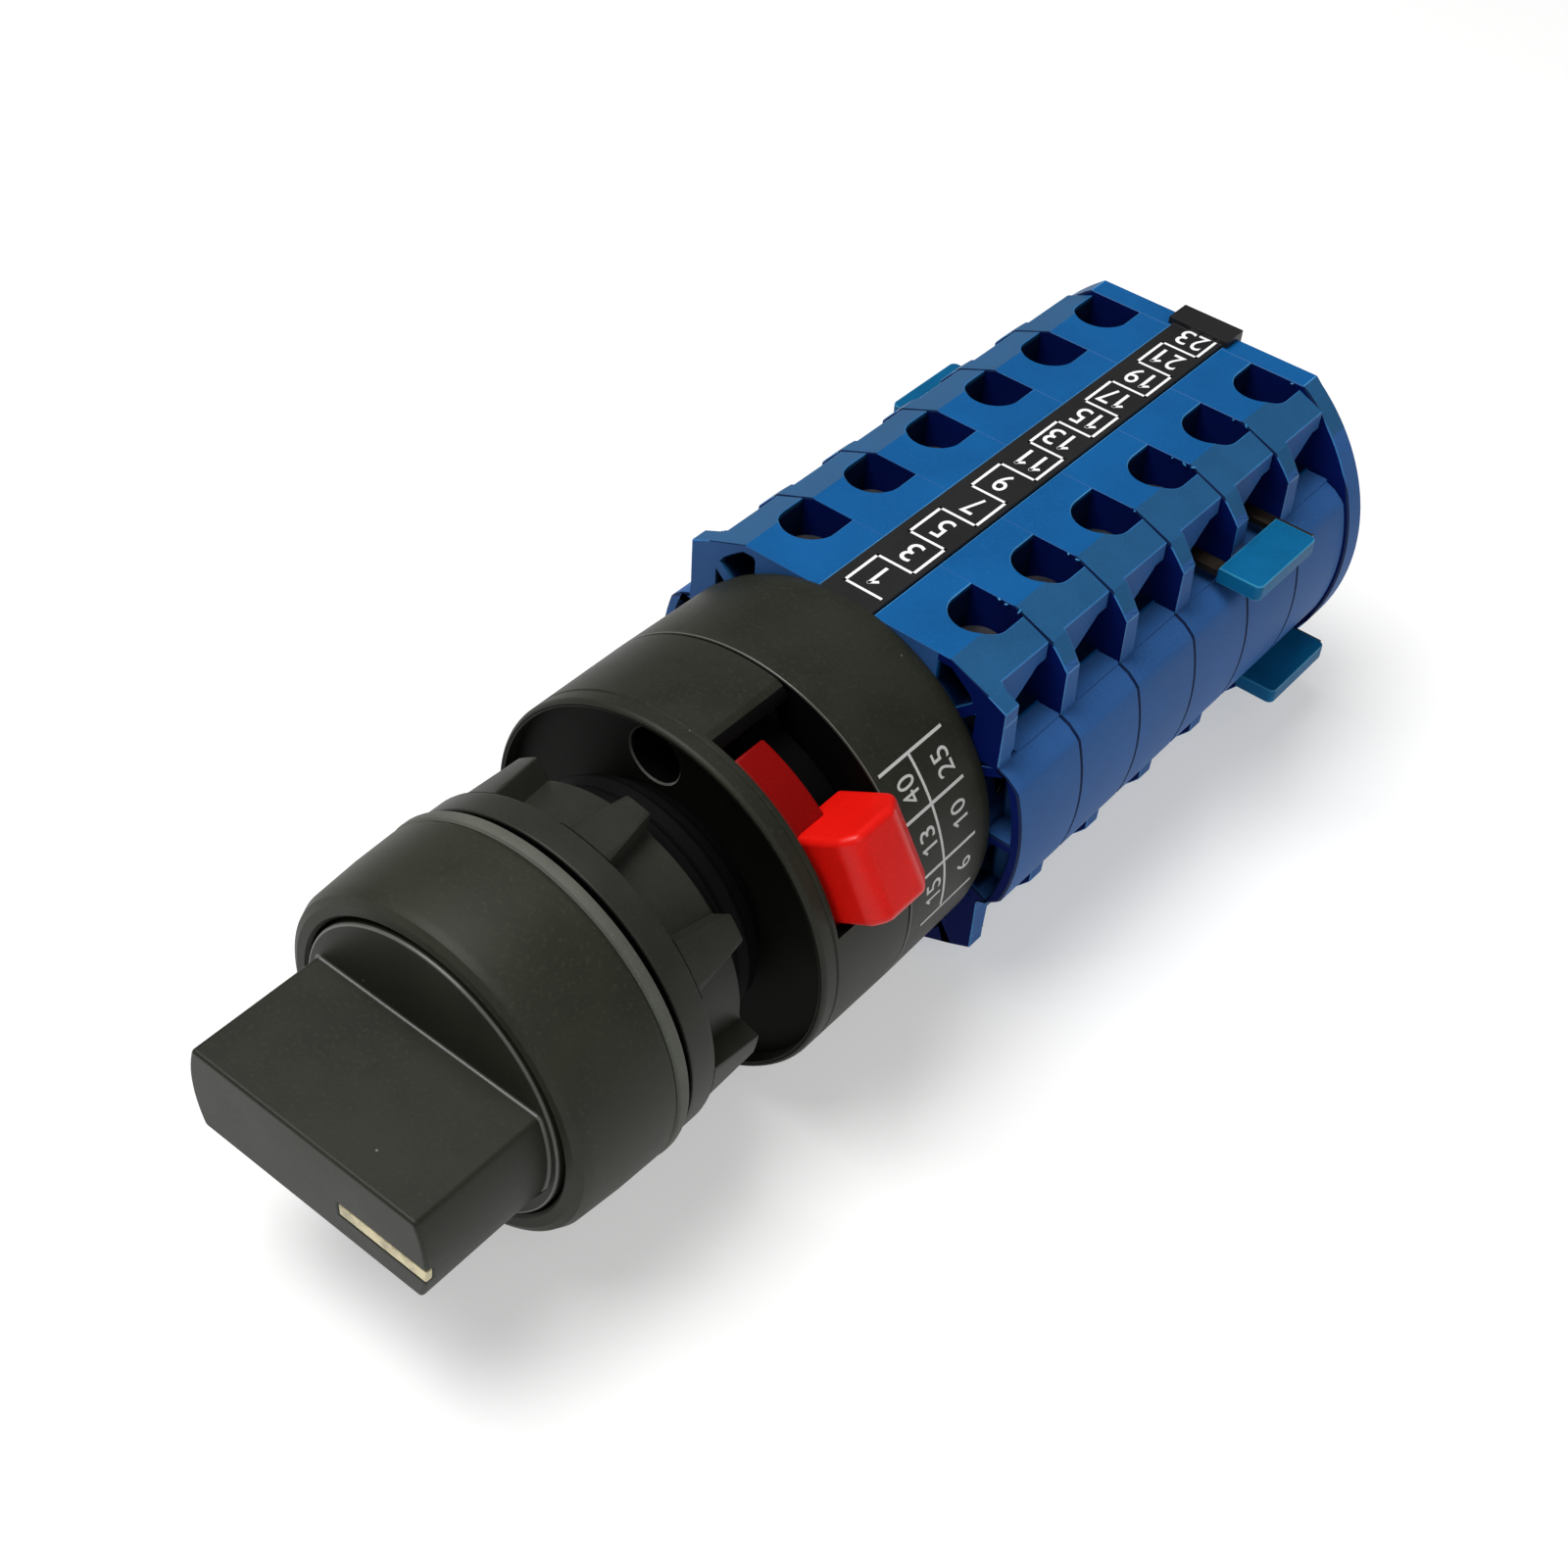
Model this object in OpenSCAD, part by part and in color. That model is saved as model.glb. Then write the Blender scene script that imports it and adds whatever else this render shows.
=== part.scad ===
// Panel cam switch: selector head, lock lever adapter and six contact stages.
// Millimetres. Panel face at Y = 0, knob toward -Y, contact stack toward +Y, +Z up.

/* [Selector head] */
// diameter of the threaded barrel that goes through the panel
barrel_d = 22; // [21.8:0.05:22.2]
// diameter of the bezel where it meets the gasket
bezel_d = 30.4; // [29.8:0.1:31]
// length of the bezel in front of the panel face
bezel_len = 10.4; // [10:0.1:11]
// diameter of the round knob base
knob_base_d = 24.8; // [24:0.1:25.2]
// thickness of the knob blade
blade_t = 8.3; // [7.5:0.1:9.5]
// length of the knob blade from end to end
blade_w = 23.2; // [22:0.2:24]
// height of the knob blade above its base
blade_len = 11.6; // [10:0.2:13]
// diameter of the fixing nut
nut_d = 29.6; // [28.8:0.1:30.4]
// distance of the fixing nut behind the panel face
nut_gap = 0.6; // [0.6:0.1:4]

/* [Lock adapter] */
// outer diameter of the adapter and of the latch housing
collar_d = 33.2; // [32.9:0.1:33.6]
// distance from the panel face to the adapter rim
collar_y = 13.2; // [13.2:0.1:14.2]
// swing of the lock lever in degrees
lever_travel = 30; // [20:1:30]
// width of the lever thumb block
thumb_w = 7.4; // [6:0.1:7.4]
// radius of the lever thumb block above the axis
thumb_r = 20.4; // [19.6:0.1:21]

/* [Contact stack] */
// length of one contact stage along the axis
stage_pitch = 8.5; // [8.4:0.05:8.8]
// diameter over the round side walls
body_d = 37.4; // [37.2:0.1:37.8]
// distance across the two flats
flats = 30.7; // [30.5:0.1:31]
// thickness of the end cover
cover_t = 2.4; // [2.2:0.1:2.8]
// width of the label strips
strip_w = 5.2; // [4.8:0.1:5.4]

/* [Terminals] */
// width of a screw well
well_w = 5.1; // [4.9:0.05:5.2]
// length of a screw well along the axis
well_l = 4.9; // [4.8:0.05:5]
// terminal screw head diameter
head_d = 4.2; // [3.8:0.1:4.4]
// thread diameter of the terminal screws
screw_d = 2.4; // [2:0.1:2.5]

/* [Mechanism] */
// width across the square shaft
shaft_w = 5.6; // [5.2:0.1:5.7]
// diameter of the cam discs
cam_d = 11.2; // [11:0.05:11.2]
// eccentric throw of the cam discs
cam_throw = 1.6; // [1.5:0.05:1.6]
// tip diameter of the index wheel
wheel_d = 16.4; // [15.6:0.1:16.6]
// radius of the index rollers
roller_r = 1.6; // [1.4:0.1:1.6]

/* [Fits] */
// radial play of the turning fits
run_play = 0.05; // [0.03:0.01:0.08]
// play around seated and guided pieces
seat_play = 0.1; // [0.05:0.01:0.15]
// free gap between pieces that move past each other
move_gap = 0.3; // [0.25:0.01:0.35]

/* [Shown piece] */
// piece to draw, or all

/* [Hidden] */
$fn = 96;
eps = 0.01;
stages = 6;
barrel_r = barrel_d / 2;
bezel_r = bezel_d / 2;
collar_r = collar_d / 2;
gasket_t = 1.2;
base_r = knob_base_d / 2;
base_top = -bezel_len - 0.2;
recess_y = -5.5;
spindle_r = 5;
web_y = 3;
clip_y = web_y + move_gap;
nut_y = nut_gap;
nut_end = nut_gap + 7.9;
nut_flange = nut_gap + 2.5;
nut_hub_r = barrel_r + 1.6;
floor_y = collar_y + 1.3;
floor_t = 0.7;
shell_t = 1;
hub_r = barrel_r + seat_play + 1.3;
barrel_end = floor_y + 4.4;
neck_r = barrel_r - 1.8;
neck_y = floor_y - 1.2;
bore_r = barrel_r - 2.8;
latch_y = collar_y + 10.4;
stack_y = latch_y + 11.4;
latch_front_t = 1.6;
stack_end = stack_y + stages * stage_pitch;
cover_end = stack_end + cover_t;
body_r = body_d / 2;
flat_z = flats / 2;
flat_x = 10.1;
front_wall = 1.5;
shelf_x = 15.3;
shelf_z = 7.5;
lobe_x = 15.65;
lobe_r = body_r + 0.8;
lever_y = floor_y + floor_t + 0.9;
lever_t = 3.3;
lever_in = hub_r + run_play;
lever_out = collar_r - shell_t - move_gap;
thumb_a = 31;
thumb_half = asin((thumb_w / 2) / (collar_r - shell_t));
thumb_play = asin(move_gap / (collar_r - shell_t));
window_low = thumb_a - thumb_half - 1.3 * thumb_play;
window_high = thumb_a + thumb_half + lever_travel + 1.3 * thumb_play;
shaft_pass_r = shaft_w * sqrt(2) / 2 + move_gap;
cam_r = cam_d / 2;
cam_chamber_r = cam_r + cam_throw + move_gap + 0.2;
nose_r = 2;
nose_x = sqrt(cam_r * cam_r - cam_throw * cam_throw) + move_gap + 0.15 + nose_r;
bar_x = 10.2;
bar_t = 1;
bar_z = 6.3;
tip_z = 5.2;
tip_r = 1.05;
chamber_x = 15;
chamber_z = 6.6;
spring_r = 1.6;
rod_z = 12;
rod_r = 1.4;
well_x = 8.45;
strip_t = 0.75;
plate_z = 7.9;
plate_t = 0.7;
leg_z = plate_z + plate_t + 0.1;
leg_t = 0.6;
clamp_z = leg_z + leg_t + 0.1;
clamp_t = 0.9;
head_z = clamp_z + clamp_t;
head_t = 1.8;
jumper_seam = [4, 4, 5];
jumper_lag = [0, 0, 1.1];
jumper_reach = [20.4, 18.2, 20.1];
jumper_left = [0, 1, 0];
jumper_low = [0, 0, 1];
grip_in = 16.3;
roller_x = wheel_d / 2 + move_gap + roller_r;
slider_in = 0.3;
slider_out = 2.3;
index_spring_l = 1.9;
index_pocket_x = roller_x + slider_out + index_spring_l;
wheel_y = latch_y + latch_front_t + 1.6;
wheel_t = 4.4;

// draws a flat outline in X and Z and runs it along Y
module along_y(y0, y1) {
    translate([0, y1, 0])
        rotate([90, 0, 0])
            linear_extrude(y1 - y0)
                children();
}

// turns an outline of radius and Y about the Y axis
module turned() {
    rotate([-90, 0, 0])
        rotate_extrude()
            children();
}

// round bar or hole on the Y axis
module rod_y(r, y0, y1) {
    translate([0, y0, 0])
        rotate([-90, 0, 0])
            cylinder(r = r, h = y1 - y0);
}

// round bar or hole that runs along X
module rod_x(r, x0, x1) {
    translate([x0, 0, 0])
        rotate([0, 90, 0])
            cylinder(r = r, h = x1 - x0);
}

// wedge between two angles measured from +X toward +Z
module wedge(a0, a1, r) {
    am = (a0 + a1) / 2;
    polygon([[0, 0], [r * cos(a0), r * sin(a0)],
        [1.3 * r * cos((a0 + am) / 2), 1.3 * r * sin((a0 + am) / 2)],
        [1.3 * r * cos(am), 1.3 * r * sin(am)],
        [1.3 * r * cos((a1 + am) / 2), 1.3 * r * sin((a1 + am) / 2)],
        [r * cos(a1), r * sin(a1)]]);
}

// four corners of the stack, each with one terminal
module at_corners() {
    children();
    mirror([1, 0, 0])
        children();
    mirror([0, 0, 1]) {
        children();
        mirror([1, 0, 0])
            children();
    }
}

// terminal pieces of every stage, placed from the rear face of the stage
module at_terminals() {
    for (s = [1 : stages])
        translate([0, stack_y + s * stage_pitch, 0])
            at_corners()
                children();
}

// bezel ring with the threaded barrel and the narrower neck behind it
module head_bezel() {
    color("#2b2b29")
        difference() {
            turned()
                polygon([[0, web_y], [0, recess_y], [base_r + move_gap, recess_y],
                    [base_r + move_gap, -bezel_len], [bezel_r - 1.1, -bezel_len],
                    [bezel_r - 0.55, -bezel_len + 0.7], [bezel_r, -gasket_t],
                    [barrel_r, -gasket_t], [barrel_r, neck_y - 0.4], [barrel_r - 0.4, neck_y],
                    [neck_r, neck_y], [neck_r, barrel_end], [bore_r, barrel_end],
                    [bore_r, web_y]]);
            rod_y(spindle_r + run_play, recess_y - 1, web_y + 1);
        }
}

// flat ring that seals the bezel on the panel
module bezel_gasket() {
    color("#8f918c")
        difference() {
            rod_y(bezel_r, -gasket_t, 0);
            rod_y(barrel_r + seat_play, -gasket_t - 1, 1);
        }
}

// one tapered ear of the fixing nut, on the +Z side
module nut_ear() {
    intersection() {
        difference() {
            rod_y(nut_d / 2 - 0.25, nut_flange - 1, nut_end);
            rod_y(nut_hub_r - 0.3, nut_flange - 2, nut_end + 1);
        }
        translate([0, 0, nut_hub_r - 1])
            linear_extrude(6)
                polygon([[-2.15, nut_flange - 0.5], [2.15, nut_flange - 0.5],
                    [1.15, nut_end], [-1.15, nut_end]]);
    }
}

// ring nut with eight ears that point away from the panel
module fixing_nut() {
    color("#33332f")
        difference() {
            union() {
                rod_y(nut_d / 2, nut_y, nut_flange);
                rod_y(nut_hub_r, nut_y, nut_end);
                for (i = [0 : 7])
                    rotate([0, 10 + 45 * i, 0])
                        nut_ear();
            }
            rod_y(barrel_r + seat_play, nut_y - 1, nut_end + 1);
        }
}

// adapter shell with the recessed front plate, the hub and the lever window
module front_housing() {
    color("#302f2c")
        difference() {
            turned()
                polygon([[neck_r + seat_play, floor_y], [collar_r - 0.6, floor_y],
                    [collar_r - 0.6, collar_y], [collar_r - 0.2, collar_y],
                    [collar_r, collar_y + 0.3], [collar_r, latch_y],
                    [collar_r - shell_t, latch_y], [collar_r - shell_t, floor_y + floor_t],
                    [hub_r, floor_y + floor_t], [hub_r, latch_y],
                    [neck_r + seat_play, latch_y]]);
            along_y(floor_y + floor_t, latch_y + 1)
                difference() {
                    wedge(window_low, window_high, collar_r + 3);
                    circle(r = hub_r + 0.2);
                }
            translate([-1.4, floor_y - 1, 12.2])
                rotate([-90, 0, 0])
                    cylinder(r = 2.4, h = floor_t + 3.2);
        }
}

// housing of the index mechanism that carries the rating label
module latch_housing() {
    color("#2d2c2a")
        difference() {
            turned()
                polygon([[0, latch_y], [collar_r - 0.15, latch_y], [collar_r, latch_y + 0.15],
                    [collar_r - 0.2, stack_y - 1.8], [collar_r - 0.45, stack_y - 0.7],
                    [collar_r - 0.8, stack_y], [0, stack_y]]);
            along_y(latch_y + latch_front_t, stack_y + 1)
                union() {
                    circle(r = wheel_d / 2 + 0.8);
                    square([2 * index_pocket_x, 7.2], center = true);
                }
            rod_y(shaft_pass_r, latch_y - 1, stack_y);
            for (sz = [-1, 1])
                translate([0, 0, sz * rod_z]) {
                    rod_y(rod_r + seat_play, latch_y - 1, stack_y + 1);
                    translate([0, latch_y - 1, 0])
                        rotate([-90, 0, 0])
                            cylinder(r = 2.75 / cos(30), h = 3.4, $fn = 6);
                }
        }
}

// outside shape of a stage, with the terminal lobes and the round side walls
module stage_outline() {
    px = body_r + 0.8;
    union() {
        intersection() {
            circle(r = body_r);
            polygon([[shelf_x, shelf_z], [shelf_x + 1.3, shelf_z - 0.55],
                [shelf_x + 2.1, shelf_z - 1.2], [px, shelf_z - 3.6], [px, 3.6 - shelf_z],
                [shelf_x + 2.1, 1.2 - shelf_z], [shelf_x + 1.3, 0.55 - shelf_z],
                [shelf_x, -shelf_z], [-shelf_x, -shelf_z], [-shelf_x - 1.3, 0.55 - shelf_z],
                [-shelf_x - 2.1, 1.2 - shelf_z], [-px, 3.6 - shelf_z], [-px, shelf_z - 3.6],
                [-shelf_x - 2.1, shelf_z - 1.2], [-shelf_x - 1.3, shelf_z - 0.55],
                [-shelf_x, shelf_z]]);
        }
        intersection() {
            circle(r = lobe_r);
            square([2 * lobe_x, 2 * flat_z], center = true);
            polygon([[flat_x, flat_z], [16.5, flat_z - 2.73], [16.5, 2.73 - flat_z],
                [flat_x, -flat_z], [-flat_x, -flat_z], [-16.5, 2.73 - flat_z],
                [-16.5, flat_z - 2.73], [-flat_x, flat_z]]);
        }
    }
}

// cam chamber with the plunger guides and the bridge chambers
module chamber_outline() {
    circle(r = cam_chamber_r);
    square([2 * bar_x, 2 * (nose_r + seat_play)], center = true);
    for (sx = [-1, 1])
        translate([sx * (chamber_x + 7.9) / 2, 0])
            square([chamber_x - 7.9, 2 * chamber_z], center = true);
}

// screw well, terminal pocket and wire entry of the +X +Z corner, rear face at Y = 0
module terminal_cuts() {
    round_y = well_w / 2 - well_l;
    translate([well_x, 0, clamp_z])
        linear_extrude(8) {
            translate([0, round_y])
                circle(r = well_w / 2);
            translate([-well_w / 2, round_y])
                square([well_w, 2 - round_y]);
        }
    translate([5.6, -well_l, plate_z - 0.1])
        cube([5.8, well_l + 1, clamp_z + clamp_t + 0.2 - plate_z + 0.1]);
    translate([6.75, -well_l, tip_z - tip_r - 0.2])
        cube([1.35, well_l + 1, plate_z - tip_z + tip_r + 0.3]);
    translate([11.2, 0, 0])
        rotate([90, 0, 90])
            linear_extrude(9)
                polygon([[1, 13.5], [0, 13.5], [-1.5, 11.9], [-4.5, 9.9], [-4.5, 7.6], [1, 7.6]]);
}

// one contact stage between its front face and its rear face
module stage_body(index) {
    y0 = stack_y + (index - 1) * stage_pitch;
    y1 = y0 + stage_pitch;
    difference() {
        along_y(y0, y1)
            stage_outline();
        along_y(y0 + front_wall, y1 + 1)
            chamber_outline();
        translate([0, y1, 0])
            at_corners()
                terminal_cuts();
        rod_y(shaft_pass_r, y0 - 1, y1 + 1);
        for (sz = [-1, 1]) {
            translate([0, 0, sz * rod_z])
                rod_y(rod_r + seat_play, y0 - 1, y1 + 1);
            translate([0, (y0 + y1) / 2, sz * flat_z])
                cube([strip_w + 2 * seat_play, stage_pitch + 2, 2 * strip_t - 0.4], center = true);
        }
    }
}

// shallow recesses beside the latch housing in the front face of the first stage
module front_recess() {
    along_y(stack_y - 1, stack_y + 2.6)
        difference() {
            intersection() {
                circle(r = body_r - 1);
                square([60, 2 * (flat_z - 0.9)], center = true);
            }
            circle(r = collar_r - 1.3);
            for (a = [0, 24, -24, 43, -43, 137, -137, 156, -156, 180])
                rotate(a)
                    translate([12, -0.45])
                        square([10, 0.9]);
            square([18, 40], center = true);
        }
}

module stage_1() {
    color("#1f5fa8")
        difference() {
            stage_body(1);
            front_recess();
        }
}

module stage_2() {
    color("#1f5fa8")
        stage_body(2);
}

module stage_3() {
    color("#1f5fa8")
        stage_body(3);
}

module stage_4() {
    color("#1f5fa8")
        stage_body(4);
}

module stage_5() {
    color("#1f5fa8")
        stage_body(5);
}

module stage_6() {
    color("#1f5fa8")
        stage_body(6);
}

// rear cover with the shaft bearing and the rod head recesses
module end_cover() {
    color("#245fa2")
        difference() {
            along_y(stack_end, cover_end)
                intersection() {
                    circle(r = body_r + 0.35);
                    square([60, 2 * flat_z], center = true);
                }
            rod_y(2.4 + run_play, stack_end - 1, cover_end + 1);
            for (sz = [-1, 1])
                translate([0, 0, sz * rod_z]) {
                    rod_y(rod_r + seat_play, stack_end - 1, cover_end + 1);
                    rod_y(2.5, cover_end - 1.2, cover_end + 1);
                    translate([0, (stack_end + cover_end) / 2, sz * (flat_z - rod_z)])
                        cube([strip_w + 2 * seat_play, cover_t + 2, 2 * strip_t - 0.4],
                            center = true);
                }
        }
}

// numbered strip in the channel of the flat, folded over the end cover
module strip_body() {
    zb = flat_z - strip_t + 0.2;
    translate([-strip_w / 2, stack_y, zb])
        cube([strip_w, cover_end - stack_y, strip_t]);
    translate([-strip_w / 2 - 0.5, stack_end + 0.3, flat_z])
        cube([strip_w + 1, cover_t - 0.3 + 0.7, 0.7]);
    translate([-strip_w / 2 - 0.5, cover_end, flat_z - 1.3])
        cube([strip_w + 1, 0.7, 2]);
}

module label_strip_top() {
    color("#242424")
        strip_body();
}

module label_strip_bottom() {
    color("#242424")
        mirror([0, 0, 1])
            strip_body();
}

// two long screws that hold the stack together
module tie_rods() {
    color("#b9bcc0")
        for (sz = [-1, 1])
            translate([0, 0, sz * rod_z]) {
                rod_y(rod_r, latch_y + 0.2, cover_end - 1);
                difference() {
                    rod_y(2.3, cover_end - 1.2, cover_end - 0.1);
                    translate([-3, cover_end - 0.5, -0.3])
                        cube([6, 1, 0.6]);
                }
            }
}

module tie_nuts() {
    color("#a9acb0")
        for (sz = [-1, 1])
            translate([0, 0, sz * rod_z])
                difference() {
                    translate([0, latch_y + 0.1, 0])
                        rotate([-90, 0, 0])
                            cylinder(r = (2.75 - seat_play) / cos(30), h = 2.3, $fn = 6);
                    rod_y(rod_r + 0.02, latch_y - 1, latch_y + 4);
                }
}

// one slotted terminal screw, rear face of the stage at Y = 0
module terminal_screw() {
    translate([well_x, -head_d / 2 - 0.15, 0])
        difference() {
            union() {
                translate([0, 0, plate_z])
                    cylinder(r = screw_d / 2, h = head_z - plate_z + 0.1);
                translate([0, 0, head_z])
                    cylinder(r = head_d / 2, h = head_t);
            }
            translate([-3, -0.35, head_z + head_t - 0.7])
                cube([6, 0.7, 1]);
        }
}

module terminal_screws() {
    color("#c8cbce")
        at_terminals()
            terminal_screw();
}

// one square clamp plate under a terminal screw
module clamp_plate() {
    difference() {
        translate([well_x - 2.4, -4.5, clamp_z])
            cube([4.8, 4.3, clamp_t]);
        translate([well_x, -head_d / 2 - 0.15, clamp_z - 1])
            cylinder(r = screw_d / 2 + seat_play, h = clamp_t + 2);
    }
}

module clamp_plates() {
    color("#d0c9a8")
        at_terminals()
            clamp_plate();
}

// one fixed contact: terminal plate, leg and contact button
module fixed_contact() {
    difference() {
        translate([5.9, -4.5, plate_z])
            cube([5.2, 4.3, plate_t]);
        translate([well_x, -head_d / 2 - 0.15, plate_z - 1])
            cylinder(r = screw_d / 2 + 0.02, h = plate_t + 2);
    }
    translate([6.9, -4.5, tip_z - tip_r])
        cube([0.8, 3, plate_z - tip_z + tip_r + eps]);
    translate([7.65, -3.4, tip_z])
        rotate([0, 90, 0])
            cylinder(r = tip_r, h = 0.4);
}

module fixed_contacts() {
    color("#c9a04e")
        at_terminals()
            fixed_contact();
}

// places one jumper at its seam: 0 top right, 1 top left, 2 low right
module at_jumper(index) {
    translate([0, stack_y + jumper_seam[index] * stage_pitch + jumper_lag[index], 0])
        mirror([jumper_left[index], 0, 0])
            mirror([0, 0, jumper_low[index]])
                children();
}

// metal link with two legs under the clamp plates, one stage apart
module jumper_link(reach) {
    translate([10, -3.4, leg_z])
        cube([reach - 10.7, 1.5, leg_t]);
    translate([10, stage_pitch - 3.4, leg_z])
        cube([reach - 10.7, 1.5, leg_t]);
    translate([grip_in + 0.4, -3.4, leg_z])
        cube([reach - grip_in - 1.1, stage_pitch + 1.5, leg_t]);
}

module jumper_links() {
    color("#b98a3c")
        for (i = [0 : 2])
            at_jumper(i)
                jumper_link(jumper_reach[i]);
}

// plastic grip moulded round the bridge of the link
module jumper_grips() {
    color("#23839a")
        for (i = [0 : 2])
            at_jumper(i)
                difference() {
                    translate([grip_in, -3.5, leg_z - 0.5])
                        cube([jumper_reach[i] - grip_in, stage_pitch + 0.9, leg_t + 0.9]);
                    jumper_link(jumper_reach[i]);
                }
}

// index roller and its slider, on the +X side
module detent_slider() {
    difference() {
        translate([roller_x - slider_in, wheel_y, -3.2])
            cube([slider_in + slider_out, wheel_t, 6.4]);
        translate([roller_x, 0, 0])
            rod_y(roller_r + seat_play, wheel_y - 1, wheel_y + wheel_t + 1);
    }
}

module detent_sliders() {
    color("#d8d4c8") {
        detent_slider();
        mirror([1, 0, 0])
            detent_slider();
    }
}

module detent_rollers() {
    color("#b7babd")
        for (sx = [-1, 1])
            translate([sx * roller_x, 0, 0])
                rod_y(roller_r, wheel_y + 0.2, wheel_y + wheel_t - 0.2);
}

// coil spring drawn as a ribbed sleeve along X
module spring_x(x0, x1, r, coils) {
    step = (x1 - x0 - 0.6) / (coils - 1);
    translate([x0, 0, 0])
        rotate([0, 90, 0])
            rotate_extrude()
                union() {
                    translate([r - 0.4, 0])
                        square([0.2, x1 - x0]);
                    for (i = [0 : coils - 1])
                        translate([r - 0.3, 0.3 + i * step])
                            circle(r = 0.3, $fn = 24);
                }
}

module detent_springs() {
    color("#b4b7ba")
        for (sx = [0, 1])
            mirror([sx, 0, 0])
                translate([0, wheel_y + wheel_t / 2, 0])
                    spring_x(roller_x + slider_out, index_pocket_x, 1.5, 3);
}

// blade knob on a round base
module knob() {
    color("#282826")
        difference() {
            union() {
                rod_y(base_r, base_top, recess_y - move_gap);
                along_y(base_top - blade_len, base_top + 1)
                    intersection() {
                        circle(r = blade_w / 2);
                        square([40, blade_t], center = true);
                    }
            }
            along_y(-8.8, recess_y + 1)
                square([7.1, 7.1], center = true);
            translate([3.2, base_top - blade_len - 1, -1.75])
                cube([10, 1.6, 1.1]);
        }
}

// pointer mark let into the face of the knob
module pointer_inlay() {
    color("#e9e3c6")
        intersection() {
            translate([3.2, base_top - blade_len, -1.75])
                cube([10, 0.6, 1.1]);
            rod_y(blade_w / 2, base_top - blade_len - 1, base_top);
        }
}

// spindle between the knob and the square shaft
module spindle() {
    color("#55554f")
        difference() {
            union() {
                rod_y(spindle_r, recess_y - 0.2, floor_y + 6);
                along_y(-8.6, recess_y)
                    square([7, 7], center = true);
            }
            difference() {
                rod_y(spindle_r + 1, clip_y, clip_y + 0.8);
                rod_y(spindle_r - 0.6, clip_y - 1, clip_y + 2);
            }
            along_y(floor_y + 0.4, floor_y + 7)
                square([shaft_w + seat_play, shaft_w + seat_play], center = true);
        }
}

// clip that keeps the spindle in the barrel
module spindle_clip() {
    color("#9a9da0")
        difference() {
            rod_y(7.2, clip_y + 0.02, clip_y + 0.78);
            rod_y(spindle_r - 0.58, clip_y - 1, clip_y + 2);
            translate([-2.4, clip_y - 1, -9])
                cube([4.8, 3, 9]);
        }
}

module square_shaft() {
    color("#b2b5b8") {
        along_y(floor_y + 0.6, stack_end - 0.4)
            square([shaft_w, shaft_w], center = true);
        rod_y(2.4, stack_end - 0.5, cover_end - 0.3);
    }
}

// star wheel with a seat every 45 degrees
module index_wheel() {
    color("#e0dccf")
        along_y(wheel_y, wheel_y + wheel_t)
            difference() {
                circle(r = wheel_d / 2);
                square([shaft_w + seat_play, shaft_w + seat_play], center = true);
                for (i = [0 : 7])
                    rotate(45 * i)
                        translate([roller_x - move_gap - 0.7, 0])
                            circle(r = roller_r);
            }
}

// eccentric cam disc with a hub on each side
module cam_body(index) {
    y1 = stack_y + index * stage_pitch;
    color("#d9d6cc")
        difference() {
            union() {
                along_y(y1 - 5.3, y1 - 1.5)
                    difference() {
                        translate([0, cam_throw])
                            circle(r = cam_r);
                        translate([0, cam_throw + cam_r + 0.6])
                            circle(r = 1.8);
                    }
                rod_y(4.6, y1 - stage_pitch + front_wall + move_gap, y1 - move_gap);
            }
            along_y(y1 - stage_pitch, y1 + 1)
                square([shaft_w + seat_play, shaft_w + seat_play], center = true);
        }
}

module cam_1() {
    cam_body(1);
}

module cam_2() {
    cam_body(2);
}

module cam_3() {
    cam_body(3);
}

module cam_4() {
    cam_body(4);
}

module cam_5() {
    cam_body(5);
}

module cam_6() {
    cam_body(6);
}

// red lever: arc on the adapter hub and the thumb block in the window
module lock_lever() {
    color("#d6180f") {
        along_y(lever_y, lever_y + lever_t)
            difference() {
                intersection() {
                    circle(r = lever_out);
                    wedge(thumb_a - 40, thumb_a + 41, collar_r + 3);
                }
                circle(r = lever_in);
            }
        rotate([0, -thumb_a, 0])
            translate([0, 0, -thumb_w / 2])
                linear_extrude(thumb_w)
                    polygon([[lever_in + 1, lever_y - 0.2], [thumb_r - 1.3, lever_y - 0.2],
                        [thumb_r, lever_y + 0.7], [thumb_r, lever_y + 5],
                        [thumb_r - 1.7, latch_y - 0.5], [lever_in + 1, latch_y - 0.5]]);
    }
}

// one plunger between a cam and its bridge, on the +X side
module plunger() {
    translate([0, -1.8, 0])
        along_y(-3.2, 0) {
            translate([nose_x, 0])
                circle(r = nose_r);
            translate([nose_x, -nose_r])
                square([bar_x - nose_x, 2 * nose_r]);
        }
}

// one contact bridge bar
module bridge_bar() {
    translate([bar_x, -5, -bar_z])
        cube([bar_t, 3.2, 2 * bar_z]);
}

// two contact buttons of a bridge
module bridge_tips() {
    for (sz = [-1, 1])
        translate([bar_x - 0.7, -3.4, sz * tip_z])
            rotate([0, 90, 0])
                cylinder(r = tip_r, h = 0.7);
}

// same piece in every stage, rear face of the stage at Y = 0
module at_stages() {
    for (s = [1 : stages])
        translate([0, stack_y + s * stage_pitch, 0])
            children();
}

module plungers_right() {
    color("#e4e1d6")
        at_stages()
            plunger();
}

module bridges_right() {
    color("#c58f45")
        at_stages()
            bridge_bar();
}

module contact_tips_right() {
    color("#cfd2d4")
        at_stages()
            bridge_tips();
}

module contact_springs_right() {
    color("#b4b7ba")
        at_stages()
            translate([0, -3.4, 0])
                spring_x(bar_x + bar_t, chamber_x, spring_r, 4);
}

module plungers_left() {
    color("#e4e1d6")
        at_stages()
            mirror([1, 0, 0])
                plunger();
}

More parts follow.
